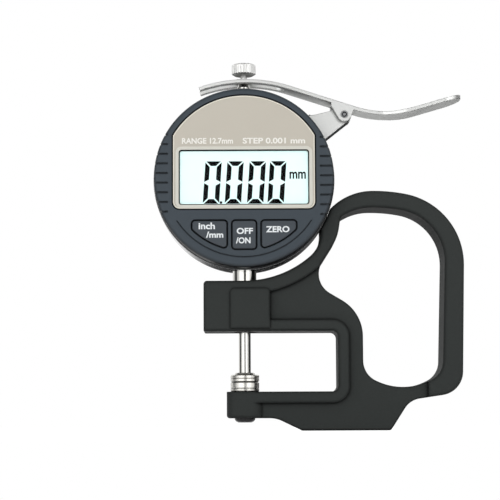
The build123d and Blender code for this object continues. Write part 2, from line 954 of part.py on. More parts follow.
def board_front():
    """The y of the display board's front face."""
    spigot_front = case_front - spigot_length
    return spigot_front - board_to_case - board_screw_head_height - board_thickness


def make_bezel():
    """Moulded face that turns on the case, with grip lines and button openings."""
    back = case_front - slip_ring_thickness - running_gap
    shell = rod_y(bezel_radius, bezel_front, back)
    edges = shell.edges().filter_by(GeomType.CIRCLE).sort_by(Axis.Y)
    shell = fillet(edges[:1], bezel_round)
    wall_back = bezel_front + bezel_front_wall
    inner = bezel_radius - bezel_wall
    shell -= rod_y(inner, wall_back, back + 1)
    seat_depth = panel_recess + panel_thickness
    shell -= slab(panel_face(0), bezel_front - 1, bezel_front + seat_depth)
    shell -= slab(panel_face(panel_ledge), bezel_front - 1, wall_back + 1)
    for name in ("unit", "power", "zero"):
        shell -= slab(button_face(name, button_gap), bezel_front - 1, wall_back + 1)
    for angle in board_post_angles:
        x, z = on_circle(board_post_circle, angle)
        shell += rod_y(board_post_radius, wall_back, board_front(), x, z)
        shell -= rod_y(board_screw_radius + press_gap, board_front() - board_screw_bite - press_gap,
                       board_front(), x, z)
    ring_y = snap_ring_place()
    shell -= rod_y(inner + snap_ring_width / 2 + press_gap, ring_y - running_gap,
                   ring_y + snap_ring_thickness + running_gap)
    groove = Circle(chin_groove_radius + chin_groove_width / 2)
    groove -= Circle(chin_groove_radius - chin_groove_width / 2)
    below = rectangle(-bezel_radius, bezel_radius, case_z - 2 * bezel_radius,
                      case_z - chin_groove_drop)
    chin = (Pos(0, case_z) * groove) & below
    shell -= slab(chin, bezel_front - 1, bezel_front + chin_groove_depth)
    core = rod_y(bezel_radius - grip_depth, bezel_front + grip_depth, back + 1)
    first = case_z + grip_rise - grip_pitch * (grip_count - 1) / 2
    for number in range(grip_count):
        for side in (-1, 1):
            z = first + number * grip_pitch - side * grip_skew
            ends = sorted((side * grip_inner_x, side * (case_radius + 1)))
            bar = block(ends[0], ends[1], bezel_front - 1, back + 1, z - grip_width / 2,
                        z + grip_width / 2)
            shell -= bar - core
    return shell


def make_bezel_snap_ring():
    """Open ring that holds the face on the case's spigot."""
    inner = snap_ring_inner()
    near = snap_ring_place()
    ring = rod_y(inner + snap_ring_width, near, near + snap_ring_thickness)
    ring -= rod_y(inner, near - 1, near + 1)
    half = snap_ring_opening / 2
    gap = block(-half, half, near - 1, near + 1, case_z + inner - 1, case_z + bezel_radius)
    return ring - gap


def make_slip_ring():
    """Thin friction ring between the face and the case."""
    outer = bezel_radius - turn_gap
    ring = rod_y(outer, case_front - slip_ring_thickness, case_front)
    return ring - rod_y(outer - slip_ring_width, case_front - 1, case_front + 1)


def window_face(grow, corner):
    """The display window's outline, drawn larger by the given amount."""
    half = window_half_width + grow
    rise = window_half_height + grow
    return rectangle(-half, half, case_z - rise, case_z + rise, corner)


def make_face_panel():
    """Champagne panel in the D-shaped seat."""
    front = bezel_front + panel_recess
    plate = slab(panel_face(panel_gap), front, front + panel_thickness)
    opening = window_face(window_rim + press_gap, window_corner + window_rim)
    return plate - slab(opening, front - 1, front + panel_thickness + 1)


def make_window_frame():
    """Pale rim round the display window."""
    front = bezel_front + panel_recess - window_rim_proud
    back = bezel_front + panel_recess + panel_thickness
    ring = slab(window_face(window_rim, window_corner + window_rim), front, back)
    ring -= slab(window_face(0, window_corner), front - 1, back + 1)
    return ring


def make_window_lens():
    """Clear window."""
    front = bezel_front + panel_recess + window_rim_proud
    shape = window_face(-press_gap, window_corner - press_gap)
    return slab(shape, front, front + lens_thickness)


def lcd_front():
    """The y of the display glass's front face, just behind the panel."""
    return bezel_front + panel_recess + panel_thickness + slide_gap


def make_lcd_glass():
    """Liquid crystal glass."""
    front = lcd_front()
    return block(-lcd_half_width, lcd_half_width, front, front + lcd_thickness,
                 case_z - lcd_below, case_z + lcd_above)


def make_lcd_backlight():
    """Light guide behind the display glass."""
    front = lcd_front() + lcd_thickness + running_gap
    half = lcd_half_width - backlight_margin
    top = case_z + lcd_above - contact_strip_height - 2 * backlight_margin
    return block(-half, half, front, front + backlight_thickness,
                 case_z - lcd_below + backlight_margin, top)


def make_lcd_contact_strip():
    """Conductive rubber strip from the display glass to the board."""
    front = lcd_front() + lcd_thickness + closed_gap
    top = case_z + lcd_above - backlight_margin
    return block(-contact_strip_half_length, contact_strip_half_length, front,
                 board_front() - closed_gap, top - contact_strip_height, top)


def make_display_board():
    """Round board behind the display, with its driver chip."""
    front = board_front()
    board = rod_y(board_radius, front, front + board_thickness)
    chip = Rectangle(driver_chip_size, driver_chip_size)
    board += slab(Pos(0, case_z + driver_chip_rise) * chip, front + board_thickness,
                  front + board_thickness + board_screw_head_height)
    for angle in board_post_angles:
        x, z = on_circle(board_post_circle, angle)
        board -= rod_y(board_screw_radius + slide_gap, front - 1, case_front, x, z)
    return board


def make_board_screws():
    """Four screws that hold the display board to the face."""
    back = board_front() + board_thickness
    screws = []
    for angle in board_post_angles:
        x, z = on_circle(board_post_circle, angle)
        shank = rod_y(board_screw_radius, board_front() - board_screw_bite, back, x, z)
        head = rod_y(board_screw_head, back, back + board_screw_head_height, x, z)
        screws.append(shank + head)
    return Compound(screws)


def button_centre(name):
    """Where a button's plunger stands."""
    middle = (side_button_inner + side_button_outer) / 2 - plunger_inset
    x = {"unit": -middle, "power": 0.0, "zero": middle}[name]
    return x, case_z - button_top_drop - power_button_height / 2 + plunger_rise


def make_switch_domes():
    """Three snap domes on the board."""
    domes = []
    back = board_front()
    for name in ("unit", "power", "zero"):
        x, z = button_centre(name)
        foot = slab(Pos(x, z) * Circle(dome_radius), back - dome_height / 2, back)
        top = slab(Pos(x, z) * Circle(dome_radius * dome_crown), back - dome_height,
                   back - dome_height / 2)
        domes.append(foot + top)
    return Compound(domes)


def make_button(name):
    """One button: cap, retaining lip and plunger."""
    lip_front = bezel_front + bezel_front_wall + running_gap
    lip_back = lip_front + button_lip_thickness
    cap = slab(button_face(name, 0), bezel_front - button_proud, lip_front)
    front_edges = cap.faces().sort_by(Axis.Y)[0].edges()
    cap = chamfer(front_edges, button_proud)
    cap += slab(button_face(name, button_lip), lip_front, lip_back)
    x, z = button_centre(name)
    end = board_front() - dome_height - button_travel - running_gap
    return cap + rod_y(plunger_radius, lip_front, end, x, z)


# Bracket and lever

def bracket_side():
    """One cheek of the bracket, from the case to the nose round the pivot."""
    top = on_circle(bracket_nose, bracket_top_angle, pivot_x, pivot_z)
    foot = on_circle(bracket_nose, bracket_foot_angle, pivot_x, pivot_z)
    inner = case_radius - 1
    case_top = on_circle(inner, bracket_case_top)
    case_foot = on_circle(inner, bracket_case_foot)
    cheek = make_face(Polyline((pivot_x, pivot_z), top, case_top, case_foot, foot, close=True))
    cheek += Pos(pivot_x, pivot_z) * Circle(bracket_nose)
    return cheek - Pos(0, case_z) * Circle(case_radius + press_gap)


def make_lever_bracket():
    """Pressed channel on the side of the case that carries the lever."""
    inner = bracket_half_width - sheet
    cheek = bracket_side()
    channel = slab(cheek, -bracket_half_width, -inner) + slab(cheek, inner, bracket_half_width)
    foot = on_circle(bracket_nose, bracket_foot_angle, pivot_x, pivot_z)
    case_foot = on_circle(case_radius - 1, bracket_case_foot)
    rise = sheet / cos(radians(90 + bracket_foot_angle))
    web = make_face(Polyline(foot, case_foot, (case_foot[0], case_foot[1] + rise),
                             (foot[0], foot[1] + rise), close=True))
    seat = Circle(case_radius + press_gap + sheet) - Circle(case_radius + press_gap)
    base = (Pos(0, case_z) * seat) & cheek
    web -= Pos(0, case_z) * Circle(case_radius + press_gap)
    channel += slab(web, -inner, inner) + slab(base, -inner, inner)
    channel -= rod_y(pin_radius + running_gap, -bracket_half_width - 1, bracket_half_width + 1,
                     pivot_x, pivot_z)
    for angle in bracket_screw_angles:
        channel -= radial_rod(bracket_screw_radius + slide_gap, case_radius - 1,
                              case_radius + 2 * sheet, angle)
    return channel


def make_bracket_screws():
    """Two screws inside the channel, into the side of the case."""
    screws = []
    seat = case_radius + press_gap + sheet
    for angle in bracket_screw_angles:
        shank = radial_rod(bracket_screw_radius, case_radius - case_wall + 0.4, seat, angle)
        head = radial_rod(bracket_screw_head, seat, seat + bracket_screw_head_height, angle)
        slot = radial_rod(0.5, seat + bracket_screw_head_height - 0.4, seat + 2, angle)
        screws.append(shank + head - slot)
    return Compound(screws)


def lever_line(depth):
    """The lever's line seen from the front, at a depth below its top face."""
    heading = radians(lever_tip_heading)
    tip_z = knob_flange_foot() - lever_tip_drop
    start = (lever_tip_x + depth * sin(heading), tip_z - depth * cos(heading))
    arch = JernArc(start, (cos(heading), sin(heading)), lever_arch_radius - depth,
                   -lever_arch_sweep)
    straight = Line(arch @ 1, arch @ 1 + (arch % 1) * lever_straight)
    dip = JernArc(straight @ 1, straight % 1, lever_dip_radius + depth, lever_dip_sweep)
    thumb = Line(dip @ 1, dip @ 1 + (dip % 1) * lever_thumb_length)
    return [arch, straight, dip, thumb]


def lever_plan():
    """The lever seen from above: fork, shank and thumb pad."""
    end_x = (lever_line(0)[-1] @ 1).X
    shank = rectangle(lever_tip_x - 1, pad_start, -lever_half_width, lever_half_width)
    pad = rectangle(pad_start - pad_half_width, end_x, -pad_half_width, pad_half_width)
    pad = fillet(pad.vertices().group_by(Axis.X)[-1], pad_half_width - pad_tip)
    pad = chamfer(pad.vertices().group_by(Axis.X)[0], pad_half_width - lever_half_width,
                  (pad_half_width - lever_half_width) * 5)
    plan = shank + pad
    slot = rectangle(lever_tip_x - 2, fork_slot_end - fork_slot_half, -fork_slot_half,
                     fork_slot_half)
    slot += Pos(fork_slot_end - fork_slot_half, 0) * Circle(fork_slot_half)
    return plan - slot


def make_lift_lever():
    """Pressed steel lever: fork under the knob, two ears and a thumb pad."""
    top = lever_line(0)
    under = lever_line(sheet)
    ends = [Line(top[0] @ 0, under[0] @ 0), Line(top[-1] @ 1, under[-1] @ 1)]
    strip = slab(make_face(top + under + ends), -pad_half_width - 1, pad_half_width + 1)
    plan = Pos(0, 0, case_z) * extrude(lever_plan(), amount=2 * case_radius)
    lever = strip & plan
    nose = Pos(pivot_x, pivot_z) * Circle(ear_nose)
    left = on_circle(ear_nose, 200, pivot_x, pivot_z)
    right = on_circle(ear_nose, -12, pivot_x, pivot_z)
    slope = -tan(radians(lever_arch_sweep - lever_tip_heading))
    joint = top[1] @ 0
    ear_left = pivot_x - ear_left_reach
    ear_right = pivot_x + ear_right_reach
    left_z = joint.Y + slope * (ear_left - joint.X) - sheet / 2
    right_z = joint.Y + slope * (ear_right - joint.X) - sheet / 2
    ear = make_face(Polyline(left, (ear_left, left_z - ear_shoulder), (ear_left, left_z),
                             (ear_right, right_z), right, (pivot_x, pivot_z), close=True))
    ear += nose
    inner = lever_half_width - sheet
    lever += slab(ear, -lever_half_width, -inner) + slab(ear, inner, lever_half_width)
    return lever - rod_y(pin_radius + press_gap, -lever_half_width - 1, lever_half_width + 1,
                         pivot_x, pivot_z)


def make_lever_pin():
    """Pivot pin with a ring groove in each end."""
    reach = lever_half_width + pin_end_proud
    pin = rod_y(pin_radius, -reach, reach, pivot_x, pivot_z)
    groove = Circle(pin_radius * 0.8) - Circle(pin_radius * 0.45)
    ring = Pos(pivot_x, pivot_z) * groove
    floor = reach - pin_groove_depth
    return pin - slab(ring, -reach - 1, -floor) - slab(ring, floor, reach + 1)


makers = {
    "frame": make_frame,
    "anvil": make_anvil,
    "anvil_screw": make_anvil_screw,
    "stem_clamp_screw": make_stem_clamp_screw,
    "clamp_pad": make_clamp_pad,
    "case_shell": make_case_shell,
    "back_cover": make_back_cover,
    "back_cover_screws": make_back_cover_screws,
    "battery_cell": make_battery_cell,
    "battery_contact": make_battery_contact,
    "battery_cover": make_battery_cover,
    "stem": make_stem,
    "lower_bush": make_lower_bush,
    "upper_bush": make_upper_bush,
    "guide_rod": make_guide_rod,
    "sensor_board": make_sensor_board,
    "sensor_board_screws": make_sensor_board_screws,
    "spindle": make_spindle,
    "contact_point": make_contact_point,
    "lift_knob": make_lift_knob,
    "scale_carrier": make_scale_carrier,
    "scale_strip": make_scale_strip,
    "return_spring": make_return_spring,
    "bezel": make_bezel,
    "bezel_snap_ring": make_bezel_snap_ring,
    "slip_ring": make_slip_ring,
    "face_panel": make_face_panel,
    "window_frame": make_window_frame,
    "window_lens": make_window_lens,
    "lcd_glass": make_lcd_glass,
    "lcd_backlight": make_lcd_backlight,
    "lcd_contact_strip": make_lcd_contact_strip,
    "display_board": make_display_board,
    "board_screws": make_board_screws,
    "switch_domes": make_switch_domes,
    "unit_button": lambda: make_button("unit"),
    "power_button": lambda: make_button("power"),
    "zero_button": lambda: make_button("zero"),
    "lever_bracket": make_lever_bracket,
    "bracket_screws": make_bracket_screws,
    "lift_lever": make_lift_lever,
    "lever_pin": make_lever_pin,
}

os.makedirs("parts", exist_ok=True)
for node, maker in makers.items():
    export_step(maker(), os.path.join("parts", node + ".step"))
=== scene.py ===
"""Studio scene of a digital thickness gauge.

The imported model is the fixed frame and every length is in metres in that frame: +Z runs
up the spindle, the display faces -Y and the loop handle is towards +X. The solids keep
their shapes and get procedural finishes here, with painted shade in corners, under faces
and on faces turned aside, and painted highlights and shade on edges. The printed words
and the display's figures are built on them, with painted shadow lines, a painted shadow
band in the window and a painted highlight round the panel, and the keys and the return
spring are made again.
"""

import logging
import math
from dataclasses import dataclass, field
from enum import Enum
from typing import Any, Optional, Sequence

import bmesh
import bpy
import numpy as np
from mathutils import Matrix, Vector


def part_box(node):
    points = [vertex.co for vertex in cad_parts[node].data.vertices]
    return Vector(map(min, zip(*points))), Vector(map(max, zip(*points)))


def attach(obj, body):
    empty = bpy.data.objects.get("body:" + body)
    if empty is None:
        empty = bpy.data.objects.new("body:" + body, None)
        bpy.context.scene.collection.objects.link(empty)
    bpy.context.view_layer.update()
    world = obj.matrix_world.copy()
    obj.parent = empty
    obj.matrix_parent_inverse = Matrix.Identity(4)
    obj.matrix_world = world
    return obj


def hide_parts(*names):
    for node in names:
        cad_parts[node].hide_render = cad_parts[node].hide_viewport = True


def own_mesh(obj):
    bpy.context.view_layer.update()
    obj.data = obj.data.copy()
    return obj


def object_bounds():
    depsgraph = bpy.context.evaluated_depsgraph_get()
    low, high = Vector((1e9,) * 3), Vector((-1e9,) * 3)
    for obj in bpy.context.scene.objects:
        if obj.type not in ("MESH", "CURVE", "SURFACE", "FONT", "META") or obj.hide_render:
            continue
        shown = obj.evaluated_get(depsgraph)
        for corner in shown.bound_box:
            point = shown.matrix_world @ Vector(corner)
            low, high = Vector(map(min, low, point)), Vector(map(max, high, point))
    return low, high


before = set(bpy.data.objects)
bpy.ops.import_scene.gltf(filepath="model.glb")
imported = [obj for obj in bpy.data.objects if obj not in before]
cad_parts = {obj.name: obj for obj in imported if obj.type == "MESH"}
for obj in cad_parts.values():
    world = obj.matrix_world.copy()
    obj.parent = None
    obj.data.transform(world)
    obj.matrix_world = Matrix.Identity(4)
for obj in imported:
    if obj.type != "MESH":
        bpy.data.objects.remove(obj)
CAD_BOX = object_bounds()

MM = 0.001
KEYS = ("unit", "power", "zero")

logging.basicConfig(level=logging.INFO, format="%(levelname)s %(name)s: %(message)s")
log = logging.getLogger("gauge")

Color = tuple[float, float, float, float]
Point = tuple[float, float]


def srgb(red: float, green: float, blue: float) -> Color:
    """Turn a colour as seen on a screen into the linear colour that shaders take.

    Args:
        red, green, blue: Screen values from 0 to 255.

    Returns:
        The linear colour with an alpha of 1.
    """
    screen = np.array([red, green, blue]) / 255.0
    low = screen / 12.92
    high = ((screen + 0.055) / 1.055) ** 2.4
    linear = np.where(screen <= 0.04045, low, high)
    return (float(linear[0]), float(linear[1]), float(linear[2]), 1.0)


def shaded(color: Color, factor: float) -> Color:
    """Return a linear colour with its brightness scaled by a factor."""
    return (color[0] * factor, color[1] * factor, color[2] * factor, color[3])


# Finishes

class Effect(Enum):
    """What gives a surface its fine structure."""

    CAST = "cast"
    MOULDED = "moulded"
    BRUSHED = "brushed"
    TURNED_UPRIGHT = "turned_upright"
    TURNED_ACROSS = "turned_across"
    CLEAR = "clear"
    PRINTED = "printed"


@dataclass(frozen=True)
class Finish:
    """One surface finish of the real object.

    Attributes:
        name: Name of the material.
        color: Linear base colour.
        effect: Which structure the surface has.
        roughness: Mean roughness.
        metallic: 1 for bare metal.
        grain: Size of the fine structure, in metres.
        depth: Height of the fine structure, in metres.
        spread: How far the roughness strays from its mean.
        tone: How far the colour strays, as a share of it.
        edge: Radius by which sharp edges look rounded, in metres.
        edge_wear_and_light: How much lighter the edges are, as a share of the colour:
            partly
        wear and partly a painted highlight, and painted shade on the edges where negative.
        stretch: How far the structure is drawn out along each axis.
        ior: Index of refraction.
        coat: Weight of a clear coat.
        shine: Strength of the mirror-like part of a matt material's light.
        glow: Strength of a painted glow, light that the surface gives though it is no
            lamp.
        aside: Share of the colour lost as painted shade on faces turned away from the
            front and back.
        under: Share of the colour lost as painted shade on faces turned down.
        crease: Share of the colour lost as painted shade in narrow corners.
        lip: Strength of the painted dark line of shade along lower rounded edges.
    """

    name: str
    color: Color
    effect: Effect
    roughness: float
    metallic: float = 0.0
    grain: float = 0.3 * MM
    depth: float = 0.004 * MM
    spread: float = 0.08
    tone: float = 0.06
    edge: float = 0.12 * MM
    # Edges lighter as wear and a painted highlight, darker as painted shade when negative.
    edge_wear_and_light: float = 0.15
    stretch: tuple[float, float, float] = (1.0, 1.0, 1.0)
    ior: float = 1.5
    coat: float = 0.0
    shine: float = 0.5
    glow: float = 0.0
    aside: float = 0.0
    under: float = 0.0
    crease: float = 0.0
    lip: float = 0.0


# In the finishes below, aside, under, crease and lip set painted shade, a negative edge
# share paints shade on edges, a positive one is wear and a painted highlight, and glow is
# a painted glow.
CAST_BLACK = Finish("cast_black", srgb(52, 55, 54), Effect.CAST, 0.62, grain=0.5 * MM,
                    depth=0.02 * MM, spread=0.12, tone=0.12, edge=1.5 * MM, edge_wear_and_light=-0.8,
                    shine=0.1, aside=0.45, under=0.4, crease=0.9)
MOULDED_SLATE = Finish("moulded_slate", srgb(62, 70, 77), Effect.MOULDED, 0.45,
                       grain=0.16 * MM, depth=0.005 * MM, edge=0.6 * MM, edge_wear_and_light=-0.5,
                       shine=0.25, aside=0.5, under=0.6, crease=0.85)
KEY_SLATE = Finish("key_slate", srgb(68, 74, 80), Effect.MOULDED, 0.42, grain=0.2 * MM,
                   depth=0.003 * MM, edge_wear_and_light=0.5, shine=0.25, aside=0.9)
BACK_SLATE = Finish("back_slate", srgb(58, 63, 69), Effect.MOULDED, 0.5, grain=0.25 * MM,
                    depth=0.01 * MM, crease=0.7)
CHAMPAGNE = Finish("champagne_panel", srgb(194, 188, 176), Effect.BRUSHED, 0.4,
                   grain=0.05 * MM, depth=0.0012 * MM, stretch=(0.02, 1.0, 1.0), edge_wear_and_light=0.2,
                   shine=0.3, aside=0.3)
# Painted highlight: the pale band round the face panel.
PANEL_EDGE_HIGHLIGHT = Finish("panel_edge_highlight", srgb(232, 228, 214), Effect.MOULDED, 0.3, tone=0.03)
# The window's rim is the panel's champagne painted lighter: a painted highlight on the
# raised rim.
LIGHTENED_RIM = Finish("lightened_rim", srgb(212, 210, 200), Effect.MOULDED, 0.3,
                   depth=0.001 * MM, tone=0.02, edge_wear_and_light=0.12, crease=0.4)
WINDOW = Finish("window", srgb(250, 254, 254), Effect.CLEAR, 0.02, ior=1.2, depth=0.0,
                edge=0.05 * MM)
# The display glass has a painted glow that brightens it.
DISPLAY = Finish("display_glass", srgb(222, 243, 241), Effect.MOULDED, 0.3,
                 grain=0.1 * MM, depth=0.0004 * MM, tone=0.015, spread=0.02, edge_wear_and_light=0.0,
                 shine=0.2, glow=0.1)
INK = Finish("display_ink", srgb(4, 4, 5), Effect.PRINTED, 0.7, tone=0.1, edge_wear_and_light=0.0,
             shine=0.02)
WHITE_PRINT = Finish("white_print", srgb(234, 238, 240), Effect.PRINTED, 0.5)
PALE_PRINT = Finish("pale_print", srgb(238, 236, 230), Effect.PRINTED, 0.5)
# Black plastic of the slip ring, also the colour of the window's painted shadow band.
GASKET = Finish("gasket", srgb(40, 42, 44), Effect.MOULDED, 0.6)
# Painted shadow: the dark bands in the face's gaps.
SHADOW_LINE = Finish("shadow_line", srgb(14, 17, 21), Effect.MOULDED, 0.7, shine=0.1)
CASE_METAL = Finish("case_metal", srgb(188, 189, 190), Effect.TURNED_ACROSS, 0.12,
                    metallic=1.0, grain=0.12 * MM, depth=0.0016 * MM, tone=0.12,
                    crease=0.8)
PLATED = Finish("plated_steel", srgb(238, 239, 237), Effect.BRUSHED, 0.42, metallic=1.0,
                grain=0.12 * MM, depth=0.001 * MM, tone=0.04, stretch=(0.05, 1.0, 1.0),
                edge=0.45 * MM, edge_wear_and_light=0.3, aside=0.12, under=0.2, crease=0.6, lip=8.0)
BRACKET = Finish("bracket_steel", srgb(240, 241, 239), Effect.BRUSHED, 0.42, metallic=1.0,
                 grain=0.12 * MM, depth=0.001 * MM, tone=0.04, stretch=(0.05, 1.0, 1.0),
                 edge=0.4 * MM, edge_wear_and_light=0.12, under=1.6, crease=0.9, lip=8.0)
KNOB_METAL = Finish("knob_metal", srgb(252, 252, 250), Effect.TURNED_UPRIGHT, 0.5,
                    metallic=1.0, grain=0.1 * MM, depth=0.0008 * MM, tone=0.02, under=0.7,
                    crease=0.15)
PIN_STEEL = Finish("pin_steel", srgb(180, 182, 184), Effect.TURNED_ACROSS, 0.3,
                   metallic=1.0, grain=0.1 * MM, crease=0.9)
GROUND_STEEL = Finish("ground_steel", srgb(212, 211, 207), Effect.TURNED_UPRIGHT, 0.12,
                      metallic=1.0, grain=0.08 * MM, depth=0.0005 * MM, tone=0.05)
LAPPED_STEEL = Finish("lapped_steel", srgb(222, 220, 214), Effect.TURNED_UPRIGHT, 0.26,
                      metallic=1.0, grain=0.12 * MM, depth=0.0018 * MM, tone=0.1,
                      under=0.7, crease=0.8)
BLACK_STEEL = Finish("black_steel", srgb(34, 34, 35), Effect.BRUSHED, 0.34, metallic=0.6,
                     grain=0.2 * MM, depth=0.002 * MM)
BRONZE = Finish("bronze", srgb(186, 150, 92), Effect.TURNED_UPRIGHT, 0.3, metallic=1.0)
SPRING = Finish("spring_steel", srgb(180, 180, 178), Effect.BRUSHED, 0.28, metallic=1.0)
BOARD = Finish("board_green", srgb(34, 98, 62), Effect.MOULDED, 0.35, coat=0.4)
SCALE = Finish("scale_board", srgb(176, 142, 66), Effect.BRUSHED, 0.4,
               stretch=(1.0, 1.0, 0.04))
WHITE_GUIDE = Finish("white_guide", srgb(225, 228, 226), Effect.MOULDED, 0.5)
RUBBER = Finish("contact_rubber", srgb(38, 38, 38), Effect.MOULDED, 0.8)

NODES_BY_FINISH: tuple[tuple[Finish, tuple[str, ...]], ...] = (
    (CAST_BLACK, ("frame",)),
    (LAPPED_STEEL, ("anvil", "contact_point")),
    (BLACK_STEEL, ("anvil_screw", "stem_clamp_screw")),
    (BRONZE, ("clamp_pad", "lower_bush", "scale_carrier")),
    (CASE_METAL, ("case_shell",)),
    (BACK_SLATE, ("back_cover",)),
    (PLATED, ("back_cover_screws", "battery_cell", "sensor_board_screws", "board_screws",
              "bracket_screws", "lift_lever")),
    (SPRING, ("battery_contact", "return_spring", "bezel_snap_ring", "switch_domes")),
    (MOULDED_SLATE, ("battery_cover", "bezel")),
    (GROUND_STEEL, ("stem", "spindle", "guide_rod")),
    (KNOB_METAL, ("upper_bush", "lift_knob")),
    (SCALE, ("scale_strip",)),
    (BOARD, ("sensor_board", "display_board")),
    (GASKET, ("slip_ring",)),
    (CHAMPAGNE, ("face_panel",)),
    (LIGHTENED_RIM, ("window_frame",)),
    (WINDOW, ("window_lens",)),
    (DISPLAY, ("lcd_glass",)),
    (WHITE_GUIDE, ("lcd_backlight",)),
    (RUBBER, ("lcd_contact_strip",)),
    (KEY_SLATE, ("unit_button", "power_button", "zero_button")),
    (BRACKET, ("lever_bracket",)),
    (PIN_STEEL, ("lever_pin",)),
)
NODE_FINISHES = {node: finish for finish, nodes in NODES_BY_FINISH for node in nodes}


class Graph:
    """Short way to build one shader node tree."""

    def __init__(self, tree: bpy.types.NodeTree) -> None:
        """Take the tree that nodes are added to."""
        self.tree = tree

    def add(self, kind: str, inputs: Optional[dict[Any, Any]] = None,
            **settings: Any) -> bpy.types.Node:
        """Add a node.

        Args:
            kind: Blender's name of the node type.
            inputs: Sockets by name or number, each with a value or a socket to link.
            **settings: Attributes of the node.

        Returns:
            The new node.
        """
        node = self.tree.nodes.new(kind)
        for name, value in settings.items():
            setattr(node, name, value)
        for key, value in (inputs or {}).items():
            if isinstance(value, bpy.types.NodeSocket):
                self.tree.links.new(value, node.inputs[key])
            else:
                node.inputs[key].default_value = value
        return node

    def math(self, operation: str, first: Any, second: Any = 0.0,
             clamp: bool = False) -> bpy.types.NodeSocket:
        """Add a math node on values or sockets, and return the socket of its result."""
        node = self.add("ShaderNodeMath", {0: first, 1: second}, operation=operation,
                        use_clamp=clamp)
        return node.outputs[0]

    def vector_math(self, operation: str, first: Any, second: Any) -> bpy.types.Node:
        """Add a vector math node that takes two values or sockets, and return it."""
        return self.add("ShaderNodeVectorMath", {0: first, 1: second},
                        operation=operation)


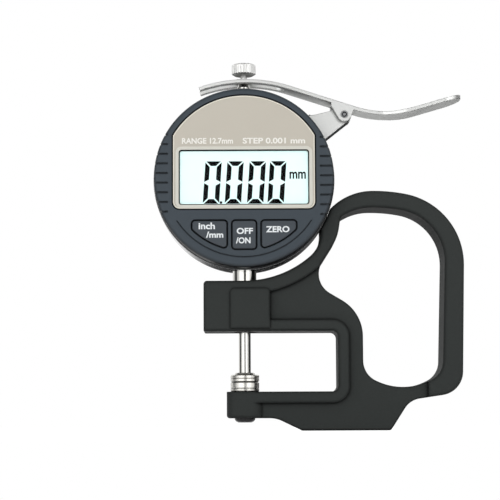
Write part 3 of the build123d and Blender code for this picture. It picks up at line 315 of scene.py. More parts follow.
class EffectGroups:
    """The node groups that all materials share.

    Each group reads the object's own coordinates and gives numbers and normals only:
    Roughness, Normal, Tone (0 to 1, about 0.5), Edge (0 on a flat, 1 on an edge) and
    Shade, the mask of painted shade (0 in the open, 1 where the colour is darkened fully).
    """

    INPUTS = (
        ("Grain", "NodeSocketFloat"),
        ("Depth", "NodeSocketFloat"),
        ("Roughness", "NodeSocketFloat"),
        ("Spread", "NodeSocketFloat"),
        ("Edge Radius", "NodeSocketFloat"),
        ("Stretch", "NodeSocketVector"),
        ("Aside", "NodeSocketFloat"),
        ("Under", "NodeSocketFloat"),
        ("Crease", "NodeSocketFloat"),
        ("Lip", "NodeSocketFloat"),
    )
    OUTPUTS = (
        ("Roughness", "NodeSocketFloat"),
        ("Normal", "NodeSocketVector"),
        ("Tone", "NodeSocketFloat"),
        ("Edge", "NodeSocketFloat"),
        ("Shade", "NodeSocketFloat"),
    )
    RAYS = 4
    HANDLING_SIZE = 14 * MM
    HANDLING_DETAIL = 3.0
    HANDLING_ROUGHNESS = 0.55
    PATTERN_TONE = 0.6
    HANDLING_TONE = 0.4
    FINE_SPREAD = 0.5
    PEBBLE_HEIGHT = 0.6
    PEBBLE_SMOOTHNESS = 0.6
    GRIT_HEIGHT = 0.5
    GRIT_RATE = 2.5
    GRAIN_ROUGHNESS = 0.6
    # Reach and strength of the painted shade in narrow corners.
    CREASE_REACH = 1.1 * MM
    CREASE_GAIN = 1.8
    EDGE_GAIN = 2.2
    CASE_HEIGHT = 67.6 * MM

    def __init__(self) -> None:
        """Start with no group built."""
        self._built: dict[Effect, bpy.types.NodeTree] = {}

    def get(self, effect: Effect) -> bpy.types.NodeTree:
        """Return the group for an effect, built the first time it is asked for.

        Args:
            effect: The surface structure.

        Returns:
            The shader node group.
        """
        if effect not in self._built:
            self._built[effect] = self._build(effect)
        return self._built[effect]

    def _build(self, effect: Effect) -> bpy.types.NodeTree:
        """Build one group.

        Args:
            effect: The surface structure.

        Returns:
            The shader node group.
        """
        tree = bpy.data.node_groups.new("surface_" + effect.value, "ShaderNodeTree")
        for name, kind in self.INPUTS:
            tree.interface.new_socket(name, in_out="INPUT", socket_type=kind)
        for name, kind in self.OUTPUTS:
            tree.interface.new_socket(name, in_out="OUTPUT", socket_type=kind)
        graph = Graph(tree)
        given = graph.add("NodeGroupInput").outputs
        place = graph.add("ShaderNodeTexCoord").outputs["Object"]
        frequency = graph.math("DIVIDE", 1.0, given["Grain"])
        pattern = self._pattern(graph, effect, place, frequency, given["Stretch"])
        handling = graph.add("ShaderNodeTexNoise", {
            "Vector": place, "Scale": 1.0 / self.HANDLING_SIZE,
            "Detail": self.HANDLING_DETAIL,
            "Roughness": self.HANDLING_ROUGHNESS}).outputs["Fac"]
        bevel = graph.add("ShaderNodeBevel", {"Radius": given["Edge Radius"]},
                          samples=self.RAYS)
        true_normal = graph.add("ShaderNodeNewGeometry").outputs["Normal"]
        facing = graph.vector_math("DOT_PRODUCT", bevel.outputs[0], true_normal)
        turned_away = graph.math("SUBTRACT", 1.0, facing.outputs["Value"])
        edge = graph.math("MULTIPLY", turned_away, self.EDGE_GAIN, clamp=True)
        bump = graph.add("ShaderNodeBump", {
            "Strength": 1.0, "Distance": given["Depth"], "Height": pattern,
            "Normal": bevel.outputs[0]})
        centred = graph.math("SUBTRACT", handling, 0.5)
        strayed = graph.math("MULTIPLY", centred, given["Spread"])
        fine = graph.math("MULTIPLY", graph.math("SUBTRACT", pattern, 0.5),
                          graph.math("MULTIPLY", given["Spread"], self.FINE_SPREAD))
        rough = graph.math("ADD", given["Roughness"], graph.math("ADD", strayed, fine),
                           clamp=True)
        tone = graph.math("ADD", graph.math("MULTIPLY", pattern, self.PATTERN_TONE),
                          graph.math("MULTIPLY", handling, self.HANDLING_TONE))
        graph.add("NodeGroupOutput", {
            "Roughness": rough, "Normal": bump.outputs[0], "Tone": tone, "Edge": edge,
            "Shade": self._shade(graph, given, bevel.outputs[0], edge)})
        return tree

    def _shade(self, graph: Graph, given: bpy.types.bpy_prop_collection,
               rounded: bpy.types.NodeSocket,
               edge: bpy.types.NodeSocket) -> bpy.types.NodeSocket:
        """Add the mask of painted shade.

        It is the sum of four shares of painted shade: how far the face turns away from the
        front and back, how far it turns down, how much of the space just above it is
        filled, and how far a rounded edge turns down.

        Args:
            graph: The group's graph.
            given: The group's inputs.
            rounded: The normal with rounded edges.
            edge: The mask of edges.

        Returns:
            The socket with the mask, from 0 to 1.
        """
        facing = graph.add("ShaderNodeTexCoord").outputs["Normal"]
        split = graph.add("ShaderNodeSeparateXYZ", {0: facing}).outputs
        frontal = graph.math("POWER", split["Y"], 2.0)
        turned = graph.math("SUBTRACT", 1.0, frontal)
        aside = graph.math("MULTIPLY", turned, given["Aside"])
        down = graph.math("MAXIMUM", graph.math("MULTIPLY", split["Z"], -1.0), 0.0)
        under = graph.math("MULTIPLY", down, given["Under"])
        # Painted shade in narrow corners, where the space above the face is filled.
        hollow = graph.add("ShaderNodeAmbientOcclusion", {"Distance": self.CREASE_REACH},
                           samples=self.RAYS).outputs["AO"]
        filled = graph.math("MULTIPLY", graph.math("SUBTRACT", 1.0, hollow),
                            self.CREASE_GAIN, clamp=True)
        crease = graph.math("MULTIPLY", filled, given["Crease"])
        # Painted dark line of shade along rounded edges that turn down.
        rim = graph.add("ShaderNodeSeparateXYZ", {0: rounded}).outputs["Z"]
        lower = graph.math("MAXIMUM", graph.math("MULTIPLY", rim, -1.0), 0.0)
        lip = graph.math("MULTIPLY", graph.math("MULTIPLY", lower, edge), given["Lip"])
        return graph.math("ADD", graph.math("ADD", aside, under),
                          graph.math("ADD", crease, lip), clamp=True)

    def _pattern(self, graph: Graph, effect: Effect, place: bpy.types.NodeSocket,
                 frequency: bpy.types.NodeSocket,
                 stretch: bpy.types.NodeSocket) -> bpy.types.NodeSocket:
        """Add the height pattern of a surface.

        A cast skin is soft pebbles with fine grit between them, a moulded one is fine
        even grit, a brushed one is grit drawn out along an axis, and a turned one is
        grit that depends only on the distance from the axis and the place along it.

        Args:
            graph: The group's graph.
            effect: The surface structure.
            place: The object coordinates.
            frequency: Grains per metre.
            stretch: How far the grains are drawn out.

        Returns:
            The socket with the height, from 0 to 1.
        """
        if effect is Effect.CAST:
            pebbles = graph.add("ShaderNodeTexVoronoi", {
                "Vector": place, "Scale": frequency, "Randomness": 1.0,
                "Smoothness": self.PEBBLE_SMOOTHNESS}, feature="SMOOTH_F1")
            finer = graph.math("MULTIPLY", frequency, self.GRIT_RATE)
            grit = graph.add("ShaderNodeTexNoise", {
                "Vector": place, "Scale": finer, "Detail": 2.0})
            return graph.math(
                "ADD",
                graph.math("MULTIPLY", pebbles.outputs["Distance"], self.PEBBLE_HEIGHT),
                graph.math("MULTIPLY", grit.outputs["Fac"], self.GRIT_HEIGHT))
        if effect in (Effect.TURNED_UPRIGHT, Effect.TURNED_ACROSS):
            upright = effect is Effect.TURNED_UPRIGHT
            centre = (0.0, 0.0, 0.0) if upright else (0.0, 0.0, self.CASE_HEIGHT)
            from_axis = graph.vector_math("SUBTRACT", place, centre).outputs[0]
            split = graph.add("ShaderNodeSeparateXYZ", {0: from_axis}).outputs
            across = (1.0, 1.0, 0.0) if upright else (1.0, 0.0, 1.0)
            flat = graph.vector_math("MULTIPLY", from_axis, across).outputs[0]
            reach = graph.vector_math("LENGTH", flat, (0.0, 0.0, 0.0)).outputs["Value"]
            along = split["Z"] if upright else split["Y"]
            rings = graph.add("ShaderNodeCombineXYZ", {0: reach, 1: along}).outputs[0]
            return graph.add("ShaderNodeTexNoise", {
                "Vector": rings, "Scale": frequency, "Detail": 2.0,
                "Roughness": self.GRAIN_ROUGHNESS}).outputs["Fac"]
        drawn = graph.vector_math("MULTIPLY", place, stretch).outputs[0]
        return graph.add("ShaderNodeTexNoise", {
            "Vector": drawn, "Scale": frequency, "Detail": 3.0,
            "Roughness": self.GRAIN_ROUGHNESS}).outputs["Fac"]


class MaterialShop:
    """Makes one material per finish and hands it out again when asked."""

    LEFT_IN_SHADE = 0.03

    def __init__(self, groups: EffectGroups) -> None:
        """Take the shared effect groups."""
        self.groups = groups
        self._made: dict[str, bpy.types.Material] = {}

    def get(self, finish: Finish) -> bpy.types.Material:
        """Return the material of a finish.

        Args:
            finish: The finish.

        Returns:
            The material.
        """
        if finish.name not in self._made:
            self._made[finish.name] = self._make(finish)
        return self._made[finish.name]

    def _make(self, finish: Finish) -> bpy.types.Material:
        """Build the material of a finish.

        Args:
            finish: The finish.

        Returns:
            The material.
        """
        material = bpy.data.materials.new(finish.name)
        material.use_nodes = True
        material.node_tree.nodes.clear()
        graph = Graph(material.node_tree)
        shader = graph.add("ShaderNodeBsdfPrincipled", {
            "Metallic": finish.metallic, "IOR": finish.ior, "Coat Weight": finish.coat,
            "Specular IOR Level": finish.shine})
        effect = graph.add("ShaderNodeGroup", node_tree=self.groups.get(finish.effect))
        for name, _ in EffectGroups.INPUTS:
            attribute = "edge" if name == "Edge Radius" else name.lower()
            effect.inputs[name].default_value = getattr(finish, attribute)
        link = material.node_tree.links.new
        link(effect.outputs["Normal"], shader.inputs["Normal"])
        if finish.effect is Effect.CLEAR:
            shader.inputs["Base Color"].default_value = finish.color
            shader.inputs["Roughness"].default_value = finish.roughness
            shader.inputs["Transmission Weight"].default_value = 1.0
        else:
            link(effect.outputs["Roughness"], shader.inputs["Roughness"])
            link(self._color(graph, finish, effect), shader.inputs["Base Color"])
        # Painted glow: the surface gives light though it is no lamp.
        if finish.glow:
            shader.inputs["Emission Color"].default_value = finish.color
            shader.inputs["Emission Strength"].default_value = finish.glow
        graph.add("ShaderNodeOutputMaterial", {"Surface": shader.outputs[0]})
        material.diffuse_color = finish.color
        return material

    def _color(self, graph: Graph, finish: Finish,
               effect: bpy.types.Node) -> bpy.types.NodeSocket:
        """Add the colour, which strays with the tone, is lighter on edges as wear and a
        painted highlight, darker there as painted shade where the edge share is negative,
        and is darkened by the painted shade.

        Args:
            graph: The material's graph.
            finish: The finish.
            effect: The effect group's node.

        Returns:
            The colour socket.
        """
        body = graph.add("ShaderNodeMix", {
            0: effect.outputs["Tone"], 6: shaded(finish.color, 1 - finish.tone),
            7: shaded(finish.color, 1 + finish.tone)}, data_type="RGBA")
        # Edges: wear and a painted highlight, and painted shade where the edge share is
        # negative.
        edges = graph.add("ShaderNodeMix", {
            0: effect.outputs["Edge"], 6: body.outputs[2],
            7: shaded(finish.color, 1 + finish.edge_wear_and_light)}, data_type="RGBA")
        # Painted shade: the colour darkened where the Shade mask is high.
        lost = graph.add("ShaderNodeMix", {
            0: effect.outputs["Shade"], 6: edges.outputs[2],
            7: shaded(finish.color, self.LEFT_IN_SHADE)}, data_type="RGBA")
        return lost.outputs[2]


# Pieces built on the solids

@dataclass
class Solid:
    """Vertices and faces of a closed mesh, gathered from simple closed parts."""

    vertices: list[np.ndarray] = field(default_factory=list)
    faces: list[list[int]] = field(default_factory=list)

    def add(self, vertices: np.ndarray, faces: Sequence[Sequence[int]]) -> None:
        """Add one closed part.

        Args:
            vertices: Its points, one row each.
            faces: Its faces, by row number.
        """
        start = sum(len(part) for part in self.vertices)
        self.vertices.append(np.asarray(vertices, float))
        self.faces.extend([start + int(corner) for corner in face] for face in faces)

    def add_prism(self, outline: np.ndarray, front: float, back: float) -> None:
        """Add a flat plate that faces -Y.

        The outline runs anticlockwise seen from the front, so the front face, the back
        face in reverse and one quad for each side close the plate.

        Args:
            outline: The corners' x and z, one row each.
            front: The front face's y.
            back: The back face's y.
        """
        count = len(outline)
        near = np.column_stack([outline[:, 0], np.full(count, front), outline[:, 1]])
        far = near.copy()
        far[:, 1] = back
        sides = [[i, i + count, (i + 1) % count + count, (i + 1) % count]
                 for i in range(count)]
        faces = [list(range(count)), list(range(2 * count - 1, count - 1, -1)), *sides]
        self.add(np.vstack([near, far]), faces)

    def add_band(self, outer: np.ndarray, inner: np.ndarray, front: float,
                 back: float) -> None:
        """Add a flat closed band between two outlines with as many corners.

        Args:
            outer, inner: The outlines' x and z, anticlockwise seen from the front.
            front: The front face's y.
            back: The back face's y.
        """
        count = len(outer)
        loops = [(outer, front), (inner, front), (inner, back), (outer, back)]
        points = [np.column_stack([loop[:, 0], np.full(count, y), loop[:, 1]])
                  for loop, y in loops]
        ring = np.arange(count)
        after = (ring + 1) % count
        faces = []
        for number in range(4):
            here = number * count
            there = (number + 1) % 4 * count
            faces.extend(np.column_stack(
                [here + ring, here + after, there + after, there + ring]).tolist())
        self.add(np.vstack(points), faces)


@dataclass
class Workshop:
    """Turns solids into pieces of the scene and says what it made."""

    shop: MaterialShop

    def place(self, name: str, solid: Solid, finish: Finish, body: str,
              slot: str) -> bpy.types.Object:
        """Make a piece and let it ride on a body.

        Args:
            name: The piece's name.
            solid: Its mesh data.
            finish: Its finish.
            body: The body that it moves with.
            slot: The record's material slot; not used.

        Returns:
            The new object, at the origin.
        """
        mesh = bpy.data.meshes.new(name)
        mesh.from_pydata(np.vstack(solid.vertices).tolist(), [], solid.faces)
        mesh.materials.append(self.shop.get(finish))
        mesh.validate()
        piece = bpy.data.objects.new(name, mesh)
        bpy.context.scene.collection.objects.link(piece)
        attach(piece, body)
        log.info("%s: %d faces on %s", name, len(mesh.polygons), body)
        return piece


def rounded_outline(low: Point, high: Point, corner: float, steps: int = 6) -> np.ndarray:
    """Work out a rectangle with round corners.

    Each corner is a quarter circle of the same number of steps, and the four follow one
    another anticlockwise from the lower right.

    Args:
        low, high: The lowest and highest x and z.
        corner: The corners' radius.
        steps: Steps in each quarter circle.

    Returns:
        The corners' x and z, one row each.
    """
    turn = np.linspace(0, np.pi / 2, steps + 1)
    centres = ((high[0], low[1], -90), (high[0], high[1], 0), (low[0], high[1], 90),
               (low[0], low[1], 180))
    arcs = []
    for x, z, start in centres:
        angles = turn + math.radians(start)
        inset_x = x - corner if x == high[0] else x + corner
        inset_z = z - corner if z == high[1] else z + corner
        arcs.append(np.column_stack([inset_x + corner * np.cos(angles),
                                     inset_z + corner * np.sin(angles)]))
    return np.vstack(arcs)


@dataclass
class DisplayFigures:
    """The four noughts, the point and the unit on the display glass.

    Attributes:
        lefts: Left edge of each figure at its top.
        foot, head: Lower and upper edge of the figures.
        width: Width of a figure.
        stroke: Width of a segment.
        gap: Gap between segments.
        lean: How far the head stands right of the foot.
        point: Middle of the decimal point.
        point_size: Side of the decimal point.
        unit_low, unit_high: Lower left and upper right corner of the unit.
        cut: How far the upper right segment's inner edge ends over the middle, as a
            share of the stroke.
        thickness: Thickness of the dark film.
        unit_weight: How bold the unit is.
    """

    workshop: Workshop
    lefts: tuple[float, ...] = (-12.8 * MM, -5.5 * MM, 1.9 * MM, 8.7 * MM)
    foot: float = 58.85 * MM
    head: float = 73.05 * MM
    width: float = 5.45 * MM
    stroke: float = 1.55 * MM
    gap: float = 0.32 * MM
    lean: float = 0.95 * MM
    point: Point = (-7.66 * MM, 59.25 * MM)
    point_size: float = 0.8 * MM
    unit_low: Point = (15.15 * MM, 67.1 * MM)
    unit_high: Point = (20.6 * MM, 69.5 * MM)
    cut: float = 0.65
    thickness: float = 0.02 * MM
    unit_weight: float = 0.025

    def segments(self) -> list[np.ndarray]:
        """Work out the six lit segments of a nought, upright and from its lower left.

        The top one is a trapezium whose ends are cut at 45 degrees, and the upper right
        one meets it in the same cut and ends at the middle in a flatter one. The other
        four are their mirror images.

        Returns:
            The outlines, anticlockwise seen from the front.
        """
        high = self.head - self.foot
        wide = self.width
        thick = self.stroke
        gap = self.gap
        top = np.array([(gap, high), (thick + gap, high - thick),
                        (wide - thick - gap, high - thick), (wide - gap, high)])
        side = np.array([(wide, high - gap), (wide - thick, high - thick - gap),
                         (wide - thick, high / 2 + thick * self.cut),
                         (wide, high / 2 + gap / 2)])
        mirror_x = np.array([-1.0, 1.0])
        across = np.array([wide, 0.0])
        mirror_z = np.array([1.0, -1.0])
        over = np.array([0.0, high])
        left = (side * mirror_x + across)[::-1]
        upper = [top, side, left]
        lower = [(part * mirror_z + over)[::-1] for part in upper]
        return upper + lower

    def build(self) -> None:
        """Build the film of figures and the unit."""
        glass_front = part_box("lcd_glass")[0][1]
        front = glass_front - self.thickness
        solid = Solid()
        slope = self.lean / (self.head - self.foot)
        for left in self.lefts:
            for outline in self.segments():
                placed = outline.copy()
                placed[:, 0] += left - self.lean + outline[:, 1] * slope
                placed[:, 1] += self.foot
                solid.add_prism(placed, front, glass_front)
        half = self.point_size / 2
        corners = rounded_outline((self.point[0] - half, self.point[1] - half),
                                  (self.point[0] + half, self.point[1] + half),
                                  half / 2, 2)
        solid.add_prism(corners, front, glass_front)
        self.workshop.place("display_figures", solid, INK, "face", "black_plastic")
        Word("display_unit", "mm", self.unit_low, self.unit_high, glass_front,
             self.thickness, self.unit_weight, INK, "face",
             "black_plastic").build(self.workshop)


@dataclass
class Word:
    """A printed word that faces -Y and fills a box.

    Attributes:
        name: The piece's name.
        text: What it says.
        low, high: Lowest and highest x and z.
        ground: The y of the surface that it is printed on.
        thickness: How far it stands proud.
        weight: How far the strokes are fattened, as a share of the letter size.
        finish: The ink.
        body: The body that carries it.
        slot: The record's material slot.
    """

    name: str
    text: str
    low: Point
    high: Point
    ground: float
    thickness: float
    weight: float
    finish: Finish
    body: str
    slot: str

    TYPE_DEPTH = 0.5
    TYPE_STEPS = 4
    WELD = 0.0005

    def build(self, workshop: Workshop) -> None:
        """Build the word.

        The letters are set flat at unit size, welded, turned upright and then scaled
        apart in x and z so that their own box becomes the wanted one.

        Args:
            workshop: What makes the piece.
        """
        curve = bpy.data.curves.new(self.name + "_type", "FONT")
        curve.body = self.text
        curve.extrude = self.TYPE_DEPTH
        curve.offset = self.weight
        curve.resolution_u = self.TYPE_STEPS
        setter = bpy.data.objects.new(self.name + "_type", curve)
        bpy.context.scene.collection.objects.link(setter)
        flat = bpy.data.meshes.new_from_object(setter)
        welded = bmesh.new()
        welded.from_mesh(flat)
        bmesh.ops.remove_doubles(welded, verts=welded.verts, dist=self.WELD)
        bmesh.ops.recalc_face_normals(welded, faces=welded.faces)
        welded.to_mesh(flat)
        welded.free()
        raw = np.empty(len(flat.vertices) * 3)
        flat.vertices.foreach_get("co", raw)
        points = raw.reshape(-1, 3)
        lowest = points.min(axis=0)
        share = (points - lowest) / (points.max(axis=0) - lowest)
        x = self.low[0] + share[:, 0] * (self.high[0] - self.low[0])
        y = self.ground - share[:, 2] * self.thickness
        z = self.low[1] + share[:, 1] * (self.high[1] - self.low[1])
        solid = Solid()
        solid.add(np.column_stack([x, y, z]),
                  [list(face.vertices) for face in flat.polygons])
        bpy.data.objects.remove(setter)
        bpy.data.curves.remove(curve)
        bpy.data.meshes.remove(flat)
        workshop.place(self.name, solid, self.finish, self.body, self.slot)


@dataclass
class KeyWords:
    """The three keys with their plain words.

    Each key is its solid drawn in by a hair, so that the ink on it stays inside the
    part's box.

    Attributes:
        set_back: How far the keys' faces are drawn in.
        thickness: How far the ink stands proud.
        weight: How bold the letters are.
        weld: Distance at which the solid's points count as one.
        words: Key, text, lower left and upper right corner of each word.
    """

    workshop: Workshop
    set_back: float = 0.014 * MM
    thickness: float = 0.012 * MM
    weight: float = 0.032
    weld: float = 0.0005 * MM
    words: tuple[tuple[str, str, Point, Point], ...] = (
        ("unit", "inch", (-15.1 * MM, 50.15 * MM), (-9.65 * MM, 52.4 * MM)),
        ("unit", "/mm", (-12.65 * MM, 47.3 * MM), (-6.9 * MM, 49.4 * MM)),
        ("power", "OFF", (-2.5 * MM, 48.55 * MM), (2.9 * MM, 50.6 * MM)),
        ("power", "/ON", (-2.75 * MM, 45.4 * MM), (2.1 * MM, 47.45 * MM)),
        ("zero", "ZERO", (7.2 * MM, 49.05 * MM), (15.0 * MM, 51.15 * MM)),
    )

    def cap(self, key: str) -> None:
        """Build a key, which stands for its solid.

        A point moves back by the set-back times how far forward it lies in the key.

        Args:
            key: Which key.
        """
        node = key + "_button"
        welded = bmesh.new()
        welded.from_mesh(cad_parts[node].data)
        bmesh.ops.remove_doubles(welded, verts=welded.verts, dist=self.weld)
        welded.verts.index_update()
        points = np.array([vertex.co[:] for vertex in welded.verts])
        faces = [[corner.index for corner in face.verts] for face in welded.faces]
        welded.free()
        low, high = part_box(node)
        points[:, 1] += self.set_back * (high[1] - points[:, 1]) / (high[1] - low[1])
        solid = Solid()
        solid.add(points, faces)
        piece = self.workshop.place(key + "_cap", solid, KEY_SLATE, key + "_key",
                                    "key_plastic")
        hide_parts(node)

    def build(self) -> None:
        """Build the keys and the words."""
        for key in KEYS:
            self.cap(key)
        for number, (key, text, low, high) in enumerate(self.words):
            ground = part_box(key + "_button")[0][1] + self.set_back
            word = Word(f"{key}_word_{number}", text, low, high, ground, self.thickness,
                        self.weight, WHITE_PRINT, key + "_key", "key_plastic")
            word.build(self.workshop)


@dataclass
class PanelFigures:
    """Plain range and resolution figures over the window.

    Attributes:
        thickness: How far the ink stands proud.
        weight: How bold the figures are.
        words: Text, lower left and upper right corner of each.
    """

    workshop: Workshop
    thickness: float = 0.01 * MM
    weight: float = 0.028
    words: tuple[tuple[str, Point, Point], ...] = (
        ("RANGE 12.7mm", (-20.6 * MM, 78.8 * MM), (-3.6 * MM, 80.8 * MM)),
        ("STEP 0.001 mm", (-0.4 * MM, 78.8 * MM), (20.4 * MM, 80.8 * MM)),
    )

    def build(self) -> None:
        """Build the figures."""
        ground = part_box("face_panel")[0][1]
        for number, (text, low, high) in enumerate(self.words):
            Word(f"panel_figures_{number}", text, low, high, ground, self.thickness,
                 self.weight, PALE_PRINT, "face", "window_rim").build(self.workshop)


@dataclass
class WindowShadowBand:
    """Painted shadow: a thin dark band inside the window's rim, over the display glass's
    edge, where the gap falls in shade.

    Attributes:
        width: Width of the band inside the rim.
        corner: Radius of its corners.
    """

    workshop: Workshop
    width: float = 0.35 * MM
    corner: float = 1.0 * MM

    def build(self) -> None:
        """Build the painted shadow band."""
        lens_low, lens_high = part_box("window_lens")
        front = lens_high[1]
        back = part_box("lcd_glass")[0][1]
        outer = rounded_outline((lens_low[0], lens_low[2]), (lens_high[0], lens_high[2]),
                                self.corner)
        inner = rounded_outline((lens_low[0] + self.width, lens_low[2] + self.width),
                                (lens_high[0] - self.width, lens_high[2] - self.width),
                                self.corner - self.width)
        solid = Solid()
        solid.add_band(outer, inner, front, back)
        # The band takes the slip ring's black as a painted shadow.
        self.workshop.place("window_shadow_band", solid, GASKET, "face", "black_plastic")


@dataclass
class PanelEdgeHighlight:
    """Painted highlight round the face panel: a thin pale band for the light caught on its
    cut edge.

    Attributes:
        width: Width of the band seen from the front.
        corner: Radius of the lower corners.
        height: How far the band stands proud.
        steps: Steps in the arch.
    """

    workshop: Workshop
    width: float = 0.34 * MM
    corner: float = 2.25 * MM
    height: float = 0.015 * MM
    steps: int = 72

    def outline(self, inset: float) -> np.ndarray:
        """Work out the panel's outline, drawn smaller.

        The arch is the part of a circle about the case's middle between the upright
        sides, and the lower corners are quarter circles.

        Args:
            inset: How much smaller.

        Returns:
            The corners' x and z, one row each, anticlockwise seen from the front.
        """
        low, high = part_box("face_panel")
        half = high[0] - inset
        radius = high[2] - EffectGroups.CASE_HEIGHT - inset
        start = math.acos(half / radius)
        angles = np.linspace(start, math.pi - start, self.steps)
        arch = np.column_stack([radius * np.cos(angles),
                                EffectGroups.CASE_HEIGHT + radius * np.sin(angles)])
        foot = rounded_outline((-half, low[2] + inset), (half, high[2]),
                               self.corner - inset)
        count = len(foot) // 4
        return np.vstack([foot[3 * count:], foot[:count], arch])

    def build(self) -> None:
        """Build the painted highlight band."""
        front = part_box("face_panel")[0][1]
        solid = Solid()
        solid.add_band(self.outline(0.0), self.outline(self.width), front - self.height,
                       front)
        self.workshop.place("panel_edge_highlight", solid, PANEL_EDGE_HIGHLIGHT, "face", "window_rim")


@dataclass
class ReturnSpring:
    """Round wire coil over the slide, built to the spring solid's length.

    Attributes:
        wire: Diameter of the wire.
        turns: Number of turns.
        steps: Steps in one turn.
        sides: Steps round the wire.
        held: The z of its upper end, which stays; not used.
        travel: How far the slide rises; not used.
    """

    workshop: Workshop
    wire: float = 0.4 * MM
    turns: int = 6
    steps: int = 30
    sides: int = 8
    held: float = 91.6 * MM
    travel: float = 12.7 * MM

    def build(self) -> None:
        """Build the coil, which stands for the spring's solid.

        The wire's middle climbs evenly on a circle about the spindle. A point of its
        skin is that middle, moved out by the wire's radius times the cosine of the angle
        round the wire and up by the radius times the sine.
        """
        low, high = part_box("return_spring")
        thick = self.wire / 2
        rows = self.turns * self.steps + 1
        share = np.linspace(0, 1, rows)[:, None]
        turn = 2 * np.pi * self.turns * share
        around = np.linspace(0, 2 * np.pi, self.sides, endpoint=False)[None, :]
        reach = high[0] - thick + thick * np.cos(around)
        rise = low[2] + thick + (high[2] - low[2] - self.wire) * share
        points = np.stack([reach * np.cos(turn), reach * np.sin(turn),
                           rise + thick * np.sin(around)], axis=2)
        here = np.arange(rows * self.sides).reshape(rows, self.sides)
        beside = np.roll(here, -1, axis=1)
        skin = np.stack([here[:-1], here[1:], beside[1:], beside[:-1]], axis=2)
        solid = Solid()
        ends = [here[0].tolist(), here[-1][::-1].tolist()]
        solid.add(points.reshape(-1, 3), skin.reshape(-1, 4).tolist() + ends)
        piece = self.workshop.place("return_coil", solid, SPRING, "frame", "spring_steel")
        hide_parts("return_spring")
        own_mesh(piece)


@dataclass
class ShadowLines:
    """Painted shadow lines in the face: thin dark bands round the panel and the three
    keys, where the gaps about them fall in shade.

    Attributes:
        panel_gap: Gap between the panel and its seat.
        panel_width: Width of the line outside that gap.
        key_gap: Gap round a key.
        key_width: Width of the line outside that gap.
        height: How far the lines stand proud.
        steps: Corners of each key's line.
    """

    workshop: Workshop
    panel_gap: float = 0.25 * MM
    panel_width: float = 0.22 * MM
    key_gap: float = 0.35 * MM
    key_width: float = 0.14 * MM
    height: float = 0.008 * MM
    steps: int = 120

    def around(self, points: np.ndarray, reach: float) -> np.ndarray:
        """Work out the outline that runs round a convex set of points at a distance.

        For each direction it is the point that lies furthest that way, moved on by the
        distance.

        Args:
            points: The x and z of the points.
            reach: The distance.

        Returns:
            The corners' x and z, one row each, anticlockwise seen from the front.
        """
        angles = np.linspace(0, 2 * np.pi, self.steps, endpoint=False)
        ways = np.column_stack([np.cos(angles), np.sin(angles)])
        furthest = points[np.argmax(points @ ways.T, axis=0)]
        return furthest + reach * ways

    def build(self) -> None:
        """Build the painted shadow lines."""
        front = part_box("bezel")[0][1]
        solid = Solid()
        panel = PanelEdgeHighlight(self.workshop)
        solid.add_band(panel.outline(-self.panel_gap - self.panel_width),
                       panel.outline(-self.panel_gap), front - self.height, front)
        for key in KEYS:
            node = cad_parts[key + "_button"]
            points = np.array([tuple(node.matrix_world @ vertex.co)
                               for vertex in node.data.vertices])
            cap = points[points[:, 1] < front + self.height][:, [0, 2]]
            solid.add_band(self.around(cap, self.key_gap + self.key_width),
                           self.around(cap, self.key_gap), front - self.height, front)
        self.workshop.place("shadow_lines", solid, SHADOW_LINE, "face", "black_plastic")


def dress_solids(shop: MaterialShop) -> None:
    """Give every solid of the frame its material.

    Args:
        shop: What makes the materials.
    """
    for name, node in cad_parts.items():
        material = shop.get(NODE_FINISHES[name])
        if not node.material_slots:
            node.data.materials.append(material)
        for slot in node.material_slots:
            slot.material = material
        log.info("%s: %s", name, material.name)


# Studio

@dataclass(frozen=True)
class Softbox:
    """One soft lamp.

    Attributes:
        name: The lamp's name.
        place: Where it stands.
        width, height: Its size.
        power: Its power in watts.
        mirrored: Whether metal shows it. Where the pale room is already mirrored, a lamp
            on top of it would make the metal clip to white.
    """

    name: str
    place: tuple[float, float, float]
    width: float
    height: float
    power: float
    mirrored: bool = True


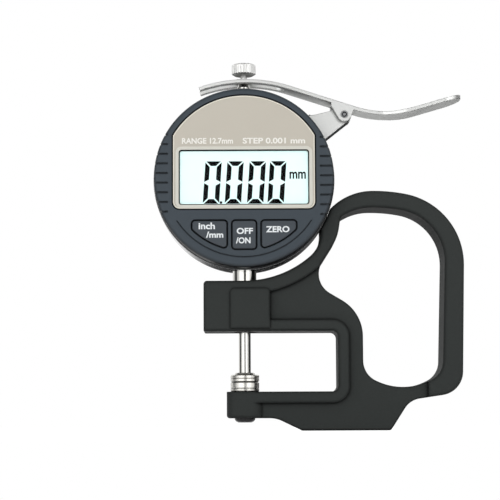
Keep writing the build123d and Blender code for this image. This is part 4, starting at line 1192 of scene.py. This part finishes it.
@dataclass
class Studio:
    """Floor, light and camera.

    Attributes:
        floor_half: Half the side of the floor.
        floor_glow: Brightness of the floor where it lies in shadow.
        floor_matt: How much of the lamps' light the floor adds to that.
        floor_color: Brightness of the floor as light on the part.
        soft_level: Brightness of the surroundings as light on matt surfaces.
        room_level: Brightness of the dark parts of the room in reflections.
        low_level: Brightness of what lies below the horizon in reflections.
        behind_ramp, leftward_ramp, overhead_ramp: Where the white backdrop starts and is
            full, as the direction's y, x and z.
        horizon_ramp: The same of what lies above the horizon, as the direction's z.
        lamps: The soft lamps.
        target: The point that the camera looks at.
        azimuth, elevation, roll: The camera's angles in degrees.
        distance: From the camera to the target.
        lens, sensor: Focal length and width of the sensor, in millimetres.
        nearest, furthest: Distances between which the camera sees.
    """

    floor_half: float = 0.26
    floor_glow: float = 0.86
    floor_matt: float = 0.6
    floor_color: float = 0.85
    soft_level: float = 0.2
    room_level: float = 0.1
    low_level: float = 0.02
    behind_ramp: tuple[float, float] = (0.35, 0.5)
    leftward_ramp: tuple[float, float] = (0.05, -0.03)
    overhead_ramp: tuple[float, float] = (0.12, 0.3)
    horizon_ramp: tuple[float, float] = (-0.05, 0.03)
    lamps: tuple[Softbox, ...] = (
        Softbox("left_softbox", (-0.376, -0.706, 0.12), 0.646, 1.0, 3.42),
        Softbox("left_fill", (-0.706, -0.376, 0.12), 0.34, 1.0, 0.9),
        Softbox("right_softbox", (0.436, -0.671, 0.12), 0.488, 1.0, 2.75),
        Softbox("right_fill", (0.736, -0.313, 0.12), 0.489, 1.0, 1.3),
        Softbox("top_softbox", (0.0, -0.05, 0.8), 1.0, 0.8, 1.6, mirrored=False),
        Softbox("back_softbox", (-0.1, 0.58, 0.62), 1.4, 0.8, 4.4, mirrored=False),
    )
    target: tuple[float, float, float] = (1.912 * MM, 0.0, 44.73 * MM)
    azimuth: float = -0.054
    elevation: float = -5.712
    roll: float = -0.249
    distance: float = 576.25 * MM
    lens: float = 122.26
    sensor: float = 36.0
    nearest: float = 0.01
    furthest: float = 20.0

    def build(self) -> None:
        """Build the whole studio."""
        self._floor()
        self._world()
        for lamp in self.lamps:
            self._lamp(lamp)
        self._camera()
        bpy.context.scene.view_settings.view_transform = "Standard"

    def _floor(self) -> None:
        """Lay the floor under the part's lowest point."""
        side = self.floor_half
        level = CAD_BOX[0][2]
        corners = [(-side, -side, level), (side, -side, level), (side, side, level),
                   (-side, side, level)]
        mesh = bpy.data.meshes.new("floor")
        mesh.from_pydata(corners, [], [(0, 1, 2, 3)])
        mesh.materials.append(self._floor_material())
        floor = bpy.data.objects.new("floor", mesh)
        bpy.context.scene.collection.objects.link(floor)

    def _floor_material(self) -> bpy.types.Material:
        """Make a pale floor that looks white, keeps a shadow and is clear from below.

        Returns:
            The material.
        """
        material = bpy.data.materials.new("floor")
        material.use_nodes = True
        material.node_tree.nodes.clear()
        graph = Graph(material.node_tree)
        seen = self._seen(graph)
        matt, faint = (
            graph.add("ShaderNodeBsdfDiffuse", {"Color": (level, level, level, 1.0)})
            for level in (self.floor_color, self.floor_matt))
        glow = graph.add("ShaderNodeEmission", {"Strength": self.floor_glow})
        both = graph.add("ShaderNodeAddShader", {0: faint.outputs[0], 1: glow.outputs[0]})
        mixed = graph.add("ShaderNodeMixShader", {
            0: seen, 1: matt.outputs[0], 2: both.outputs[0]})
        clear = graph.add("ShaderNodeBsdfTransparent")
        below = graph.add("ShaderNodeNewGeometry").outputs["Backfacing"]
        sided = graph.add("ShaderNodeMixShader", {
            0: below, 1: mixed.outputs[0], 2: clear.outputs[0]})
        graph.add("ShaderNodeOutputMaterial", {"Surface": sided.outputs[0]})
        return material

    @staticmethod
    def _seen(graph: Graph) -> bpy.types.NodeSocket:
        """Add the mask of rays that show the background.

        Args:
            graph: The tree that it is added to.

        Returns:
            A socket that is 1 for camera, glossy and transmission rays.
        """
        path = graph.add("ShaderNodeLightPath").outputs
        gloss = graph.math("MAXIMUM", path["Is Camera Ray"], path["Is Glossy Ray"])
        return graph.math("MAXIMUM", gloss, path["Is Transmission Ray"])

    def _world(self) -> None:
        """Make surroundings that look white, light softly and give metal dark streaks.

        A mirror sees a white backdrop behind the part, on its left and overhead, and the
        dark room elsewhere between the lamps.
        """
        world = bpy.data.worlds.new("studio")
        bpy.context.scene.world = world
        world.use_nodes = True
        world.node_tree.nodes.clear()
        graph = Graph(world.node_tree)
        path = graph.add("ShaderNodeLightPath").outputs
        towards = graph.add("ShaderNodeTexCoord").outputs["Generated"]
        split = graph.add("ShaderNodeSeparateXYZ", {0: towards}).outputs
        behind = self._step(graph, split["Y"], self.behind_ramp)
        leftward = self._step(graph, split["X"], self.leftward_ramp)
        overhead = self._step(graph, split["Z"], self.overhead_ramp)
        above = self._step(graph, split["Z"], self.horizon_ramp)
        sheet = graph.math("MULTIPLY", behind, graph.math("MAXIMUM", leftward, overhead))
        lit = graph.add("ShaderNodeMapRange", {
            "Value": sheet, "To Min": self.room_level, "To Max": 1.0}).outputs[0]
        fall = graph.add("ShaderNodeMapRange", {
            "Value": above, "To Min": self.low_level, "To Max": 1.0}).outputs[0]
        clear = graph.math("MAXIMUM", path["Is Camera Ray"], path["Is Transmission Ray"])
        seen = graph.math("MAXIMUM", graph.math("MULTIPLY", lit, fall), clear)
        mirrored = graph.math("MAXIMUM", clear, path["Is Glossy Ray"])
        soft = graph.add("ShaderNodeBackground", {"Strength": self.soft_level})
        shown = graph.add("ShaderNodeBackground", {"Strength": seen})
        for background in (soft, shown):
            background.inputs["Color"].default_value = (1.0, 1.0, 1.0, 1.0)
        mixed = graph.add("ShaderNodeMixShader", {
            0: mirrored, 1: soft.outputs[0], 2: shown.outputs[0]})
        graph.add("ShaderNodeOutputWorld", {"Surface": mixed.outputs[0]})

    @staticmethod
    def _step(graph: Graph, value: bpy.types.NodeSocket,
              ramp: tuple[float, float]) -> bpy.types.NodeSocket:
        """Add a ramp that leaves 0 and reaches 1 at two values, and return its socket."""
        node = graph.add("ShaderNodeMapRange", {
            "Value": value, "From Min": ramp[0], "From Max": ramp[1]})
        return node.outputs[0]

    def _lamp(self, lamp: Softbox) -> None:
        """Hang one lamp, turned to the part.

        Args:
            lamp: The lamp.
        """
        light = bpy.data.lights.new(lamp.name, "AREA")
        light.shape = "RECTANGLE"
        light.size = lamp.width
        light.size_y = lamp.height
        light.energy = lamp.power
        holder = bpy.data.objects.new(lamp.name, light)
        bpy.context.scene.collection.objects.link(holder)
        holder.location = lamp.place
        holder.visible_glossy = lamp.mirrored
        towards = Vector(self.target) - Vector(lamp.place)
        holder.rotation_euler = towards.to_track_quat("-Z", "Y").to_euler()

    def _camera(self) -> None:
        """Set the camera where the photograph was taken from."""
        azimuth = math.radians(self.azimuth)
        elevation = math.radians(self.elevation)
        roll = math.radians(self.roll)
        back = Vector((math.sin(azimuth) * math.cos(elevation),
                       -math.cos(azimuth) * math.cos(elevation), math.sin(elevation)))
        level_right = Vector((math.cos(azimuth), math.sin(azimuth), 0.0))
        level_up = back.cross(level_right)
        right = level_right * math.cos(roll) + level_up * math.sin(roll)
        up = level_up * math.cos(roll) - level_right * math.sin(roll)
        data = bpy.data.cameras.new("camera")
        data.lens = self.lens
        data.sensor_width = self.sensor
        data.clip_start = self.nearest
        data.clip_end = self.furthest
        camera = bpy.data.objects.new("camera", data)
        bpy.context.scene.collection.objects.link(camera)
        turn = Matrix((right, up, back)).transposed().to_4x4()
        camera.matrix_world = Matrix.Translation(Vector(self.target)
                                                 + back * self.distance) @ turn
        bpy.context.scene.camera = camera


def main() -> None:
    """Dress the part and set the studio."""
    shop = MaterialShop(EffectGroups())
    workshop = Workshop(shop)
    dress_solids(shop)
    DisplayFigures(workshop).build()
    KeyWords(workshop).build()
    PanelFigures(workshop).build()
    WindowShadowBand(workshop).build()
    PanelEdgeHighlight(workshop).build()
    ShadowLines(workshop).build()
    ReturnSpring(workshop).build()
    Studio().build()


if __name__ == "__main__":
    main()
